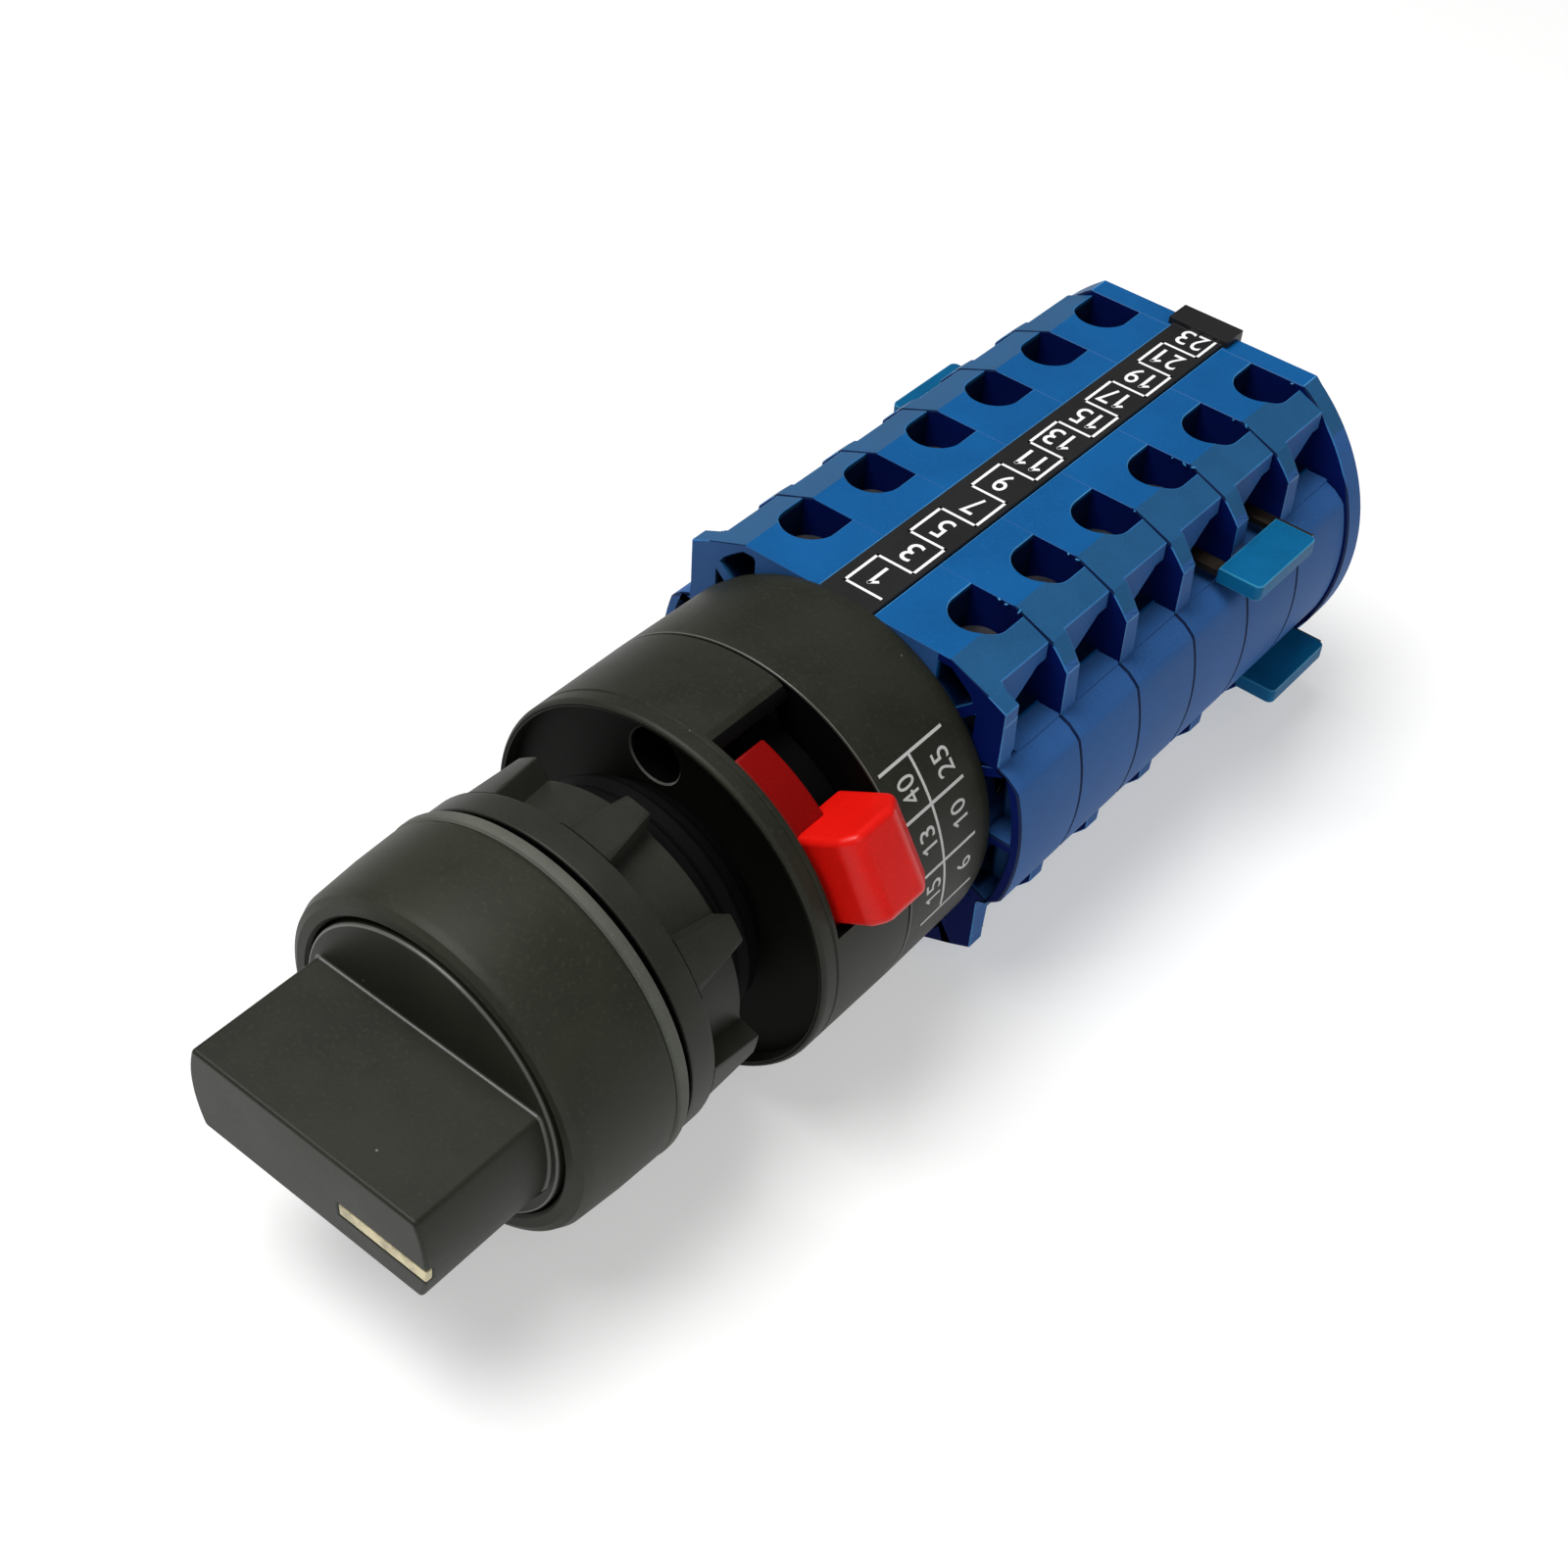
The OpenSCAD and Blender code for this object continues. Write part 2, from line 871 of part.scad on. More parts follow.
module bridges_left() {
    color("#c58f45")
        at_stages()
            mirror([1, 0, 0])
                bridge_bar();
}

module contact_tips_left() {
    color("#cfd2d4")
        at_stages()
            mirror([1, 0, 0])
                bridge_tips();
}

module contact_springs_left() {
    color("#b4b7ba")
        at_stages()
            mirror([1, 0, 0])
                translate([0, -3.4, 0])
                    spring_x(bar_x + bar_t, chamber_x, spring_r, 4);
}

head_bezel();
bezel_gasket();
fixing_nut();
front_housing();
latch_housing();
stage_1();
stage_2();
stage_3();
stage_4();
stage_5();
stage_6();
end_cover();
label_strip_top();
label_strip_bottom();
tie_rods();
tie_nuts();
terminal_screws();
clamp_plates();
fixed_contacts();
jumper_links();
jumper_grips();
detent_sliders();
detent_rollers();
detent_springs();
knob();
pointer_inlay();
spindle();
spindle_clip();
square_shaft();
index_wheel();
cam_1();
cam_2();
cam_3();
cam_4();
cam_5();
cam_6();
lock_lever();
plungers_right();
bridges_right();
contact_tips_right();
contact_springs_right();
plungers_left();
bridges_left();
contact_tips_left();
contact_springs_left();
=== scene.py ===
"""Panel cam switch: finished pieces, materials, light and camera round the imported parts.

Sizes are in millimetres in the part's own frame: the switch axis along Y, the panel face at Y = 0,
the knob toward -Y and the flat with the odd numbers facing +Z. Meshes become metres when finished.
"""
import logging
import math
from dataclasses import dataclass
from enum import Enum
from typing import Any, Callable, Iterable, Mapping, Optional, Sequence, Union

import bmesh
import bpy
from mathutils import Matrix, Vector


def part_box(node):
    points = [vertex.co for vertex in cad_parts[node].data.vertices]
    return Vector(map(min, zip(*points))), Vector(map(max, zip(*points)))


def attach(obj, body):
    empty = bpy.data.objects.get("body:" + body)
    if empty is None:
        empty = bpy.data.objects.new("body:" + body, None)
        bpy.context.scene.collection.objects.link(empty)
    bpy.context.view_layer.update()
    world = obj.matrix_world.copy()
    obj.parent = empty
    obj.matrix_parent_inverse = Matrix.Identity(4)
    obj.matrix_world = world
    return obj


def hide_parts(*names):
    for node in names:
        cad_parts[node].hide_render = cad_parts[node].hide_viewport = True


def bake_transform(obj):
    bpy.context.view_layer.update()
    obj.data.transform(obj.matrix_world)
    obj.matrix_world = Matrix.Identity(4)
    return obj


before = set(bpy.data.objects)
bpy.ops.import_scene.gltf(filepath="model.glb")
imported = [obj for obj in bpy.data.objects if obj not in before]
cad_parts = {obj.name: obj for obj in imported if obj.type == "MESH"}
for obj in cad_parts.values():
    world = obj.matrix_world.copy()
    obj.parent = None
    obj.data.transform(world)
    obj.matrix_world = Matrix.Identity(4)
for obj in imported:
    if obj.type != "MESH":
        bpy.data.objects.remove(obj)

LOG = logging.getLogger("cam_switch")
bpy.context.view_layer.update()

Colour = tuple[float, float, float]
Point = tuple[float, float, float]
Spot = tuple[float, float]
Verts = list[bmesh.types.BMVert]
Choice = Callable[[Vector], bool]

PER_METRE = 1000.0      # millimetres in a metre
SHARP = 28.0            # degrees from which an edge is rounded
SOFT = 40.0             # degrees up to which a soft edge is shaded smooth
LINE_STEP = 0.8         # longest face of a printed line
MIX_FIRST, MIX_SECOND, MIX_RESULT = 6, 7, 2     # colour sockets of a Mix node


class Body(Enum):
    """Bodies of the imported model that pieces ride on."""

    HOUSING = "housing"
    SELECTOR = "selector"
    LEVER = "lock_lever"
    RIGHT = "contacts_right"
    LEFT = "contacts_left"


class Slot(Enum):
    """Material slots of the record; each new piece names one, which is not used."""

    BLACK = "black_plastic"
    RUBBER = "gasket_rubber"
    BLUE = "blue_plastic"
    RED = "red_plastic"
    TEAL = "teal_plastic"
    CREAM = "cream_inlay"
    FILM = "label_film"
    STEEL = "steel"


@dataclass(frozen=True)
class StackForm:
    """Front, pitch and outer faces of the contact stack.

    The chamfer is given by its normal's X and Z and by its distance from the axis.
    """

    front_y: float = 35.0
    pitch: float = 8.5
    flat_z: float = 15.35
    side_x: float = 15.65
    corner_r: float = 19.5
    chamfer: Point = (0.3923, 0.9198, 18.081)


FORM = StackForm()


# ---------------------------------------------------------------- shader graphs


class Signal:
    """An output socket of a node graph, with arithmetic that adds Math nodes."""

    def __init__(self, graph: "Graph", socket: Optional[bpy.types.NodeSocket]) -> None:
        """Wrap an output socket of the graph."""
        self.graph = graph
        self.socket = socket

    def _math(self, operation: str, first: "Operand", second: "Operand") -> "Signal":
        """Result of a Math node on two operands."""
        return self.graph.node("ShaderNodeMath", {"operation": operation}, {0: first, 1: second})

    def __add__(self, other: "Operand") -> "Signal":
        """Sum."""
        return self._math("ADD", self, other)

    __radd__ = __add__

    def __sub__(self, other: "Operand") -> "Signal":
        """Difference."""
        return self._math("SUBTRACT", self, other)

    def __rsub__(self, other: "Operand") -> "Signal":
        """Difference with the signal second."""
        return self._math("SUBTRACT", other, self)

    def __mul__(self, other: "Operand") -> "Signal":
        """Product."""
        return self._math("MULTIPLY", self, other)

    __rmul__ = __mul__

    def __pow__(self, other: "Operand") -> "Signal":
        """Power."""
        return self._math("POWER", self, other)

    def __abs__(self) -> "Signal":
        """Size without sign."""
        return self._math("ABSOLUTE", self, 0.0)

    def least(self, other: "Operand") -> "Signal":
        """Smaller of two values."""
        return self._math("MINIMUM", self, other)

    def ramp(self, low: float, high: float) -> "Signal":
        """Smooth step from zero at the low value to one at the high value."""
        settings = {"interpolation_type": "SMOOTHSTEP", "clamp": True}
        return self.graph.node("ShaderNodeMapRange", settings, {0: self, 1: low, 2: high, 3: 0.0, 4: 1.0})


Operand = Union[Signal, float, int]


class Graph:
    """Node graph of one material or of the surround."""

    def __init__(self, owner: Union[bpy.types.Material, bpy.types.World]) -> None:
        """Empty the owner's node tree.

        Args:
            owner: material or world that the graph is made for.
        """
        owner.use_nodes = True
        self.tree = owner.node_tree
        self.tree.nodes.clear()

    def node(self, kind: str, settings: Mapping[str, Any], inputs: Mapping[Union[int, str], Any],
             output: Union[int, str] = 0) -> Signal:
        """Add one node.

        Args:
            kind: type name of the node.
            settings: properties that are set first.
            inputs: value or link of each named or numbered input.
            output: output that is returned.

        Returns:
            The chosen output, which holds no socket where the node is a closing one.
        """
        made = self.tree.nodes.new(kind)
        for key, value in settings.items():
            setattr(made, key, value)
        for key, value in inputs.items():
            if isinstance(value, Signal):
                self.tree.links.new(value.socket, made.inputs[key])
            else:
                made.inputs[key].default_value = value
        return Signal(self, made.outputs[output] if made.outputs else None)

    def place(self, stretch: Point = (1.0, 1.0, 1.0)) -> Signal:
        """Object coordinates in millimetres; a factor under one draws a pattern out along its axis."""
        spot, scale = self.node("ShaderNodeTexCoord", {}, {}, "Object"), tuple(PER_METRE * s for s in stretch)
        return self.node("ShaderNodeVectorMath", {"operation": "MULTIPLY"}, {0: spot, 1: scale})

    def noise(self, at: Signal, grain: float, detail: float = 2.0, rough: float = 0.5) -> Signal:
        """Noise between zero and one, with a grain in millimetres and layers of finer noise."""
        return self.node("ShaderNodeTexNoise", {},
                         {"Vector": at, "Scale": 1.0 / grain, "Detail": detail, "Roughness": rough})

    def specks(self, at: Signal, spacing: float, size: float) -> Signal:
        """One on scattered round specks and zero between them, with a radius as a share of the spacing."""
        away = self.node("ShaderNodeTexVoronoi", {}, {"Vector": at, "Scale": 1.0 / spacing}, "Distance")
        return 1.0 - away.ramp(size * 0.5, size)

    def mix(self, first: Any, second: Any, share: Operand) -> Signal:
        """Blend from the first colour to the second as the share goes from zero to one."""
        pair = [(*c, 1.0) if isinstance(c, tuple) else c for c in (first, second)]
        return self.node("ShaderNodeMix", {"data_type": "RGBA"},
                         {0: share, MIX_FIRST: pair[0], MIX_SECOND: pair[1]}, MIX_RESULT)

    def bump(self, height: Signal, strength: float, depth: float) -> Signal:
        """Normal that is bumped by a height between zero and one, with its depth in millimetres."""
        return self.node("ShaderNodeBump", {},
                         {"Strength": strength, "Distance": depth / PER_METRE, "Height": height})

    def surface(self, values: Mapping[str, Any]) -> None:
        """Close a material with a principled surface that has the given inputs."""
        self.node("ShaderNodeOutputMaterial", {}, {"Surface": self.node("ShaderNodeBsdfPrincipled", {}, values)})


# ---------------------------------------------------------------- finishes


def lighter(colour: Colour, factor: float) -> Colour:
    """Colour with every channel times the factor, up to white."""
    return tuple(min(1.0, c * factor) for c in colour)


@dataclass(frozen=True)
class Finish:
    """Named finish with a linear colour."""

    name: str
    colour: Colour

    def material(self) -> bpy.types.Material:
        """Make the material once, or find it.

        Returns:
            The material.
        """
        found = bpy.data.materials.get(self.name)
        if found:
            return found
        made = bpy.data.materials.new(self.name)
        self.shade(Graph(made))
        return made

    def shade(self, graph: Graph) -> None:
        """Build the nodes of the finish; each kind has its own."""
        raise NotImplementedError


@dataclass(frozen=True)
class Moulded(Finish):
    """Moulded plastic with soft patches, fine grain and, where asked for, dust."""

    rough: float = 0.42
    patches: float = 0.16
    patch_size: float = 7.0
    grain: float = 0.25
    grain_size: float = 0.22
    grain_depth: float = 0.012
    gloss: float = 0.5
    dust: float = 0.0
    dust_gap: float = 3.4
    dust_size: float = 0.035
    coat: float = 0.0
    mottle: float = 0.4

    def shade(self, graph: Graph) -> None:
        """Build the nodes of the plastic.

        Args:
            graph: graph of the material.
        """
        at = graph.place()
        cloud = graph.noise(at, self.patch_size, 3.0, 0.55)
        fine = graph.noise(at, self.grain_size, 2.0, 0.6)
        tone = graph.mix(lighter(self.colour, 1.0 - self.patches), lighter(self.colour, 1.0 + self.patches),
                         cloud.ramp(0.3, 0.7))
        tone = graph.mix(tone, lighter(self.colour, 1.45), fine.ramp(0.52, 0.72) * self.mottle)
        if self.dust:
            dots = graph.specks(at, self.dust_gap, self.dust_size) * graph.noise(at, 9.0, 1.0).ramp(0.45, 0.6)
            tone = graph.mix(tone, (self.dust, self.dust, self.dust * 0.93), dots * 0.8)
        graph.surface({
            "Base Color": self.painted_depth_shade(graph, tone),
            "Roughness": self.rough + (cloud - 0.5) * 0.16 + (fine - 0.5) * 0.1,
            "Specular IOR Level": self.gloss,
            "Coat Weight": self.coat,
            "Coat Roughness": 0.12,
            "Normal": graph.bump(fine, self.grain, self.grain_depth),
        })

    def painted_depth_shade(self, graph: Graph, tone: Signal) -> Signal:
        """Colour with painted shade far inside the piece; plain plastic paints none and keeps its own."""
        return tone


@dataclass(frozen=True)
class StagePlastic(Moulded):
    """Blue plastic with painted shade: its colour falls to a dark shade colour in the wells, wire openings and first
    recess.

    Each pair of limits is where a change begins and where it is complete.
    """

    # Colour of the painted shade, and the depths over which it sets in.
    shade_colour: Colour = (0.0008, 0.007, 0.034)
    fall: Spot = (0.05, 0.6)
    ledge_y: Spot = (37.65, 37.8)
    ledge_z: Spot = (7.2, 7.45)
    pocket_x: Spot = (13.3, 13.45)
    front_y: Spot = (35.05, 35.6)
    rear_y: Spot = (86.1, 86.4)

    def painted_depth_shade(self, graph: Graph, tone: Signal) -> Signal:
        """Paint shade that darkens the colour with the depth under the outer faces; the open pockets stay lit.

        Args:
            graph: graph in the making.
            tone: colour of the outer faces.

        Returns:
            The colour with its painted shade.
        """
        at = graph.place()
        x, y, z = (graph.node("ShaderNodeSeparateXYZ", {}, {0: at}, axis) for axis in "XYZ")
        wide, high = abs(x), abs(z)
        across, up, reach = FORM.chamfer
        corner = FORM.corner_r - (wide * wide + high * high) ** 0.5
        chamfer = reach - (wide * across + high * up)
        depth = (FORM.flat_z - high).least(FORM.side_x - wide).least(chamfer).least(corner)
        # Open wire pockets beyond the pocket line stay lit, except at the first stage's front ledge.
        ledge = (1.0 - y.ramp(*self.ledge_y)) * (1.0 - high.ramp(*self.ledge_z))
        shaded_share = 1.0 - wide.ramp(*self.pocket_x) * (1.0 - ledge)
        # Painted shade: blend toward the shade colour with depth, only between the stack's front and rear.
        return graph.mix(tone, self.shade_colour, depth.ramp(*self.fall) * shaded_share
                         * y.ramp(*self.front_y) * (1.0 - y.ramp(*self.rear_y)))


@dataclass(frozen=True)
class Metal(Finish):
    """Metal with drawn streaks and a dull bloom."""

    rough: float = 0.34
    stretch: Point = (1.0, 0.12, 1.0)
    streak_size: float = 0.12
    stain_size: float = 2.4
    bloom: float = 0.3

    def shade(self, graph: Graph) -> None:
        """Build the nodes of the metal.

        Args:
            graph: graph of the material.
        """
        streak = graph.noise(graph.place(self.stretch), self.streak_size, 2.0)
        stain = graph.noise(graph.place(), self.stain_size, 3.0).ramp(0.42, 0.72)
        graph.surface({
            "Base Color": graph.mix(self.colour, lighter(self.colour, 1.0 - self.bloom), stain),
            "Metallic": 1.0,
            "Roughness": self.rough + stain * 0.2 + (streak - 0.5) * 0.16,
            "Normal": graph.bump(streak, 0.12, 0.01),
        })


@dataclass(frozen=True)
class Paper(Finish):
    """White floor paper that glows a little, as when it is lit from behind."""

    glow: float

    def shade(self, graph: Graph) -> None:
        """Build the nodes of the paper.

        Args:
            graph: graph of the material.
        """
        cloud = graph.noise(graph.place(), 60.0, 2.0).ramp(0.3, 0.7)
        graph.surface({
            "Base Color": graph.mix(self.colour, lighter(self.colour, 0.985), cloud),
            "Roughness": 0.85,
            "Specular IOR Level": 0.1,
            "Emission Color": (1.0, 1.0, 1.0, 1.0),
            "Emission Strength": self.glow,
        })


@dataclass(frozen=True)
class Print(Finish):
    """Printed ink with small worn spots."""

    under: Colour
    rough: float = 0.5

    def shade(self, graph: Graph) -> None:
        """Build the nodes of the ink.

        Args:
            graph: graph of the material.
        """
        worn = graph.noise(graph.place(), 0.18, 3.0, 0.7).ramp(0.65, 0.76)
        graph.surface({
            "Base Color": graph.mix(self.colour, self.under, worn * 0.7),
            "Roughness": self.rough + worn * 0.1,
        })


@dataclass(frozen=True)
class Finishes:
    """Every finish of the switch."""

    knob: Finish = Moulded("knob_black", (0.0146, 0.0156, 0.0095), 0.48, gloss=0.24, dust=0.3, grain=0.4,
                           grain_size=0.34, mottle=0.8)
    bezel: Finish = Moulded("bezel_black", (0.0195, 0.021, 0.013), 0.5, gloss=0.2, dust=0.25, grain=0.4,
                            grain_size=0.34, mottle=0.8)
    shell: Finish = Moulded("shell_black", (0.0158, 0.0168, 0.011), 0.5, gloss=0.2, dust=0.25, grain=0.4,
                            grain_size=0.34, mottle=0.8)
    # Painted shade: near-black copy of the black plastic for bores, hollows and joints that lie in shade.
    inside: Finish = Moulded("shell_inside_painted_shade", (0.002, 0.002, 0.002), 0.6, gloss=0.05)
    # Painted highlight: light grey for thin lines of light along rounded black edges.
    edge: Finish = Moulded("black_edge_highlight", (0.085, 0.086, 0.078), 0.36)
    # Painted shade: near-black, low-gloss black for the thread, which lies in shade behind the nut.
    thread: Finish = Moulded("thread_black_painted_shade", (0.003, 0.003, 0.003), 0.6, gloss=0.06)
    nut: Finish = Moulded("nut_black", (0.02, 0.021, 0.016), 0.46, gloss=0.2)
    spindle: Finish = Moulded("spindle_grey", (0.05, 0.05, 0.046), 0.5)
    rubber: Finish = Moulded("seal_rubber", (0.085, 0.089, 0.074), 0.65, grain=0.4, gloss=0.2)
    # Painted shade: near-black, low-gloss black for the front plate, which lies in the shadow of the nut and bezel.
    plate: Finish = Moulded("plate_black_painted_shade", (0.0055, 0.0056, 0.0046), 0.5, gloss=0.05)
    blue: Finish = StagePlastic("stage_blue", (0.0012, 0.085, 0.265), 0.4, gloss=0.24, patches=0.07)
    # Painted shading: greyer, darker copy of the blue for side and chamfer faces, standing for how they are lit.
    blue_side_shaded: Finish = StagePlastic("stage_blue_side", (0.013, 0.083, 0.2), 0.46, gloss=0.2, patches=0.07)
    # Painted shading: hazier, low-gloss copy of the blue for pocket walls, lower lobes and the lit part of the first
    # stage's front.
    blue_low_shading: Finish = StagePlastic("stage_blue_low", (0.028, 0.098, 0.28), 0.52, gloss=0.07, patches=0.07)
    # Painted shade: dark navy for the stage fronts seen in the pockets and wells, which lie in shade.
    blue_front_shaded: Finish = Moulded("stage_front_navy", (0.0014, 0.0075, 0.085), 0.55, gloss=0.05)
    # Light blue rims round the wells on the flats: partly moulding flash, partly painted edge highlight.
    blue_rim_flash_and_highlight: Finish = Moulded("stage_blue_rim", (0.06, 0.25, 0.52), 0.4, gloss=0.3)
    # Painted highlight: light blue for thin lines of light along rounded stage edges.
    blue_edge_highlight: Finish = Moulded("stage_blue_edge", (0.024, 0.15, 0.38), 0.4, gloss=0.3)
    # Painted shade: dark navy in the seam grooves between stages.
    seam: Finish = Moulded("stage_seam", (0.0005, 0.01, 0.05), 0.5, gloss=0.15)
    burr: Finish = Moulded("seam_burr", (0.02, 0.19, 0.42), 0.3, gloss=0.5)
    red: Finish = Moulded("lever_red", (0.66, 0.006, 0.003), 0.34, patches=0.05, grain=0.03, gloss=0.22, coat=0.03)
    # Painted shade: darker red for the lever arm, which lies in shade inside the window.
    red_shaded: Finish = Moulded("lever_red_painted_shade", (0.19, 0.0014, 0.0009), 0.42, patches=0.05, grain=0.03, gloss=0.1)
    teal: Finish = Moulded("grip_teal", (0.002, 0.1, 0.235), 0.45, patches=0.12, gloss=0.09)
    # Painted highlight: lighter teal for thin lines of light on the grips' rims.
    teal_edge_highlight: Finish = Moulded("grip_teal_highlight", (0.02, 0.19, 0.34), 0.4, gloss=0.3)
    ivory: Finish = Moulded("inner_ivory", (0.7, 0.66, 0.55), 0.45)
    cream: Finish = Moulded("pointer_cream", (0.6, 0.53, 0.33), 0.5, patches=0.3, patch_size=1.2)
    film: Finish = Moulded("strip_film", (0.009, 0.009, 0.01), 0.45, patches=0.1, gloss=0.35)
    ink: Finish = Print("strip_ink", (0.88, 0.89, 0.88), (0.4, 0.4, 0.4))
    ring_ink: Finish = Print("ring_ink", (0.5, 0.5, 0.49), (0.06, 0.06, 0.055))
    steel: Finish = Metal("zinc_steel", (0.58, 0.59, 0.6))
    # Painted shade: steel darkened for the terminal screws, which sit in shade in the wells.
    screw: Finish = Metal("screw_painted_shade", (0.1, 0.1, 0.11), 0.42)
    plated: Finish = Metal("passivated_steel", (0.6, 0.55, 0.38), 0.36)
    brass: Finish = Metal("contact_brass", (0.76, 0.52, 0.24), 0.32)
    link: Finish = Metal("link_bronze", (0.085, 0.065, 0.045), 0.36)
    silver: Finish = Metal("contact_silver", (0.82, 0.81, 0.78), 0.24)


FINISH = Finishes()


# ---------------------------------------------------------------- workpieces


@dataclass(frozen=True)
class Stretch:
    """Body at the far end of a springy piece, and the ends of the stretch in metres."""

    body: Body
    start: Point
    end: Point


def anywhere(middle: Vector) -> bool:
    """Choice that takes every edge."""
    return True


def nowhere(middle: Vector) -> bool:
    """Choice that takes no edge."""
    return False


def off_axis(place: Vector) -> float:
    """Distance from the switch axis."""
    return math.hypot(place.x, place.z)


def put(name: str, data: Optional[bpy.types.ID]) -> bpy.types.Object:
    """Put a new object into the scene.

    Args:
        name: name of the object.
        data: mesh, curve, lamp or camera that it shows.

    Returns:
        The object.
    """
    made = bpy.data.objects.new(name, data)
    bpy.context.scene.collection.objects.link(made)
    return made


class Workpiece:
    """One piece in the making, in millimetres in the part's frame."""

    def __init__(self, name: str, *finishes: Finish) -> None:
        """Start an empty piece.

        Args:
            name: name of the finished object.
            finishes: its finishes, with that of its untouched faces first.
        """
        self.name = name
        self.finishes = finishes
        self.bm = bmesh.new()

    @classmethod
    def from_node(cls, name: str, node: str, *finishes: Finish) -> "Workpiece":
        """Start from a merged copy of a CAD node.

        Args:
            name: name of the finished object.
            node: CAD node that is copied.
            finishes: its finishes, with that of its untouched faces first.

        Returns:
            The piece.
        """
        piece = cls(name, *finishes)
        piece.bm.from_mesh(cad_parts[node].data)
        bmesh.ops.scale(piece.bm, vec=(PER_METRE, PER_METRE, PER_METRE), verts=piece.bm.verts)
        piece.merge()
        return piece

    def merge(self) -> None:
        """Merge doubled corners and flat neighbours, and clear the finishes."""
        bmesh.ops.remove_doubles(self.bm, verts=self.bm.verts, dist=0.002)
        bmesh.ops.dissolve_limit(self.bm, angle_limit=math.radians(0.5), verts=self.bm.verts,
                                 edges=self.bm.edges, use_dissolve_boundaries=False)
        for face in self.bm.faces:
            face.material_index = 0

    def combine(self, other: "Workpiece", operation: str) -> None:
        """Join another solid to the piece, or cut it away.

        Args:
            other: solid that is used up.
            operation: UNION to join it, DIFFERENCE to cut it away.
        """
        bench = []
        for part in (self, other):
            mesh = bpy.data.meshes.new("bench")
            part.bm.to_mesh(mesh)
            part.bm.free()
            bench.append(put("bench", mesh))
        cut = bench[0].modifiers.new("Cut", "BOOLEAN")
        cut.operation = operation
        cut.solver = "EXACT"
        cut.object = bench[1]
        result = bpy.data.meshes.new_from_object(bench[0].evaluated_get(bpy.context.evaluated_depsgraph_get()))
        self.bm = bmesh.new()
        self.bm.from_mesh(result)
        meshes = [result] + [made.data for made in bench]
        for made in bench:
            bpy.data.objects.remove(made)
        for mesh in meshes:
            bpy.data.meshes.remove(mesh)
        self.merge()

    def slice(self, place: Point, normal: Point) -> None:
        """Cut the faces along a plane and keep both sides."""
        bmesh.ops.bisect_plane(self.bm, geom=self.bm.verts[:] + self.bm.edges[:] + self.bm.faces[:],
                               dist=0.001, plane_co=place, plane_no=normal)

    def turned(self, profile: Sequence[Spot], steps: int) -> None:
        """Turn a closed outline once round the Y axis.

        Args:
            profile: corners of the outline, each a radius and a Y.
            steps: number of steps of the full turn.
        """
        ring = [self.bm.verts.new((radius, y, 0.0)) for radius, y in profile]
        edges = [self.bm.edges.new(pair) for pair in zip(ring, ring[1:] + ring[:1])]
        bmesh.ops.spin(self.bm, geom=ring + edges, cent=(0, 0, 0), axis=(0, 1, 0),
                       angle=math.tau, steps=steps, use_merge=True)
        bmesh.ops.recalc_face_normals(self.bm, faces=self.bm.faces)

    def swept(self, corners: Sequence[Point], angle: float, steps: int, rise: float = 0.0) -> Verts:
        """Sweep a closed section round the Y axis, rising along it if asked.

        Args:
            corners: corners of the section.
            angle: angle of the sweep in radians, from +X toward +Z.
            steps: number of steps.
            rise: movement along Y over the whole sweep.

        Returns:
            The new vertices.
        """
        before = set(self.bm.verts)
        face = self.bm.faces.new([self.bm.verts.new(c) for c in corners])
        bmesh.ops.spin(self.bm, geom=[face, *face.edges, *face.verts], cent=(0, 0, 0), axis=(0, -1, 0),
                       dvec=(0, rise / steps, 0), angle=angle, steps=steps, use_merge=False)
        return self.closed(before)

    def slab(self, corners: Sequence[Point], along: Point) -> Verts:
        """Push a flat outline along a direction into a solid.

        Args:
            corners: corners of the outline.
            along: direction and length of the push.

        Returns:
            The new vertices.
        """
        before = set(self.bm.verts)
        face = self.bm.faces.new([self.bm.verts.new(c) for c in corners])
        pushed = bmesh.ops.extrude_face_region(self.bm, geom=[face], use_keep_orig=True)
        moved = [g for g in pushed["geom"] if isinstance(g, bmesh.types.BMVert)]
        bmesh.ops.translate(self.bm, verts=moved, vec=along)
        return self.closed(before)

    def closed(self, before: set[bmesh.types.BMVert]) -> Verts:
        """Turn the faces of a new solid outward.

        Args:
            before: vertices that were there before it.

        Returns:
            The new vertices.
        """
        new = [v for v in self.bm.verts if v not in before]
        bmesh.ops.recalc_face_normals(self.bm, faces=list({f for v in new for f in v.link_faces}))
        return new

    def soften(self, width: float, segments: int, where: Choice = anywhere, finish: Optional[Finish] = None,
               clamp: bool = True) -> None:
        """Round the sharp edges.

        Args:
            width: width of the rounding.
            segments: number of faces across it.
            where: choice by the middle of the edge.
            finish: finish of the new faces, which otherwise take their neighbours' own.
            clamp: whether the width shrinks where short edges meet.
        """
        limit = math.radians(SHARP)
        chosen = [e for e in self.bm.edges if e.is_manifold and e.calc_face_angle(0.0) > limit
                  and where((e.verts[0].co + e.verts[1].co) / 2.0)]
        material = self.finishes.index(finish) if finish else -1
        bmesh.ops.bevel(self.bm, geom=chosen, offset=width, offset_type="OFFSET", segments=segments,
                        profile=0.5, affect="EDGES", clamp_overlap=clamp, material=material, loop_slide=True)

    def tuck(self, stray: Choice) -> None:
        """Weld corners that a rounding threw outside the piece into their nearest neighbour inside.

        Args:
            stray: whether a place is outside the piece.
        """
        targets = {}
        for vert in self.bm.verts:
            if stray(vert.co):
                near = [e.other_vert(vert) for e in vert.link_edges if not stray(e.other_vert(vert).co)]
                if near:
                    targets[vert] = min(near, key=lambda v: (v.co - vert.co).length)
        bmesh.ops.weld_verts(self.bm, targetmap=targets)

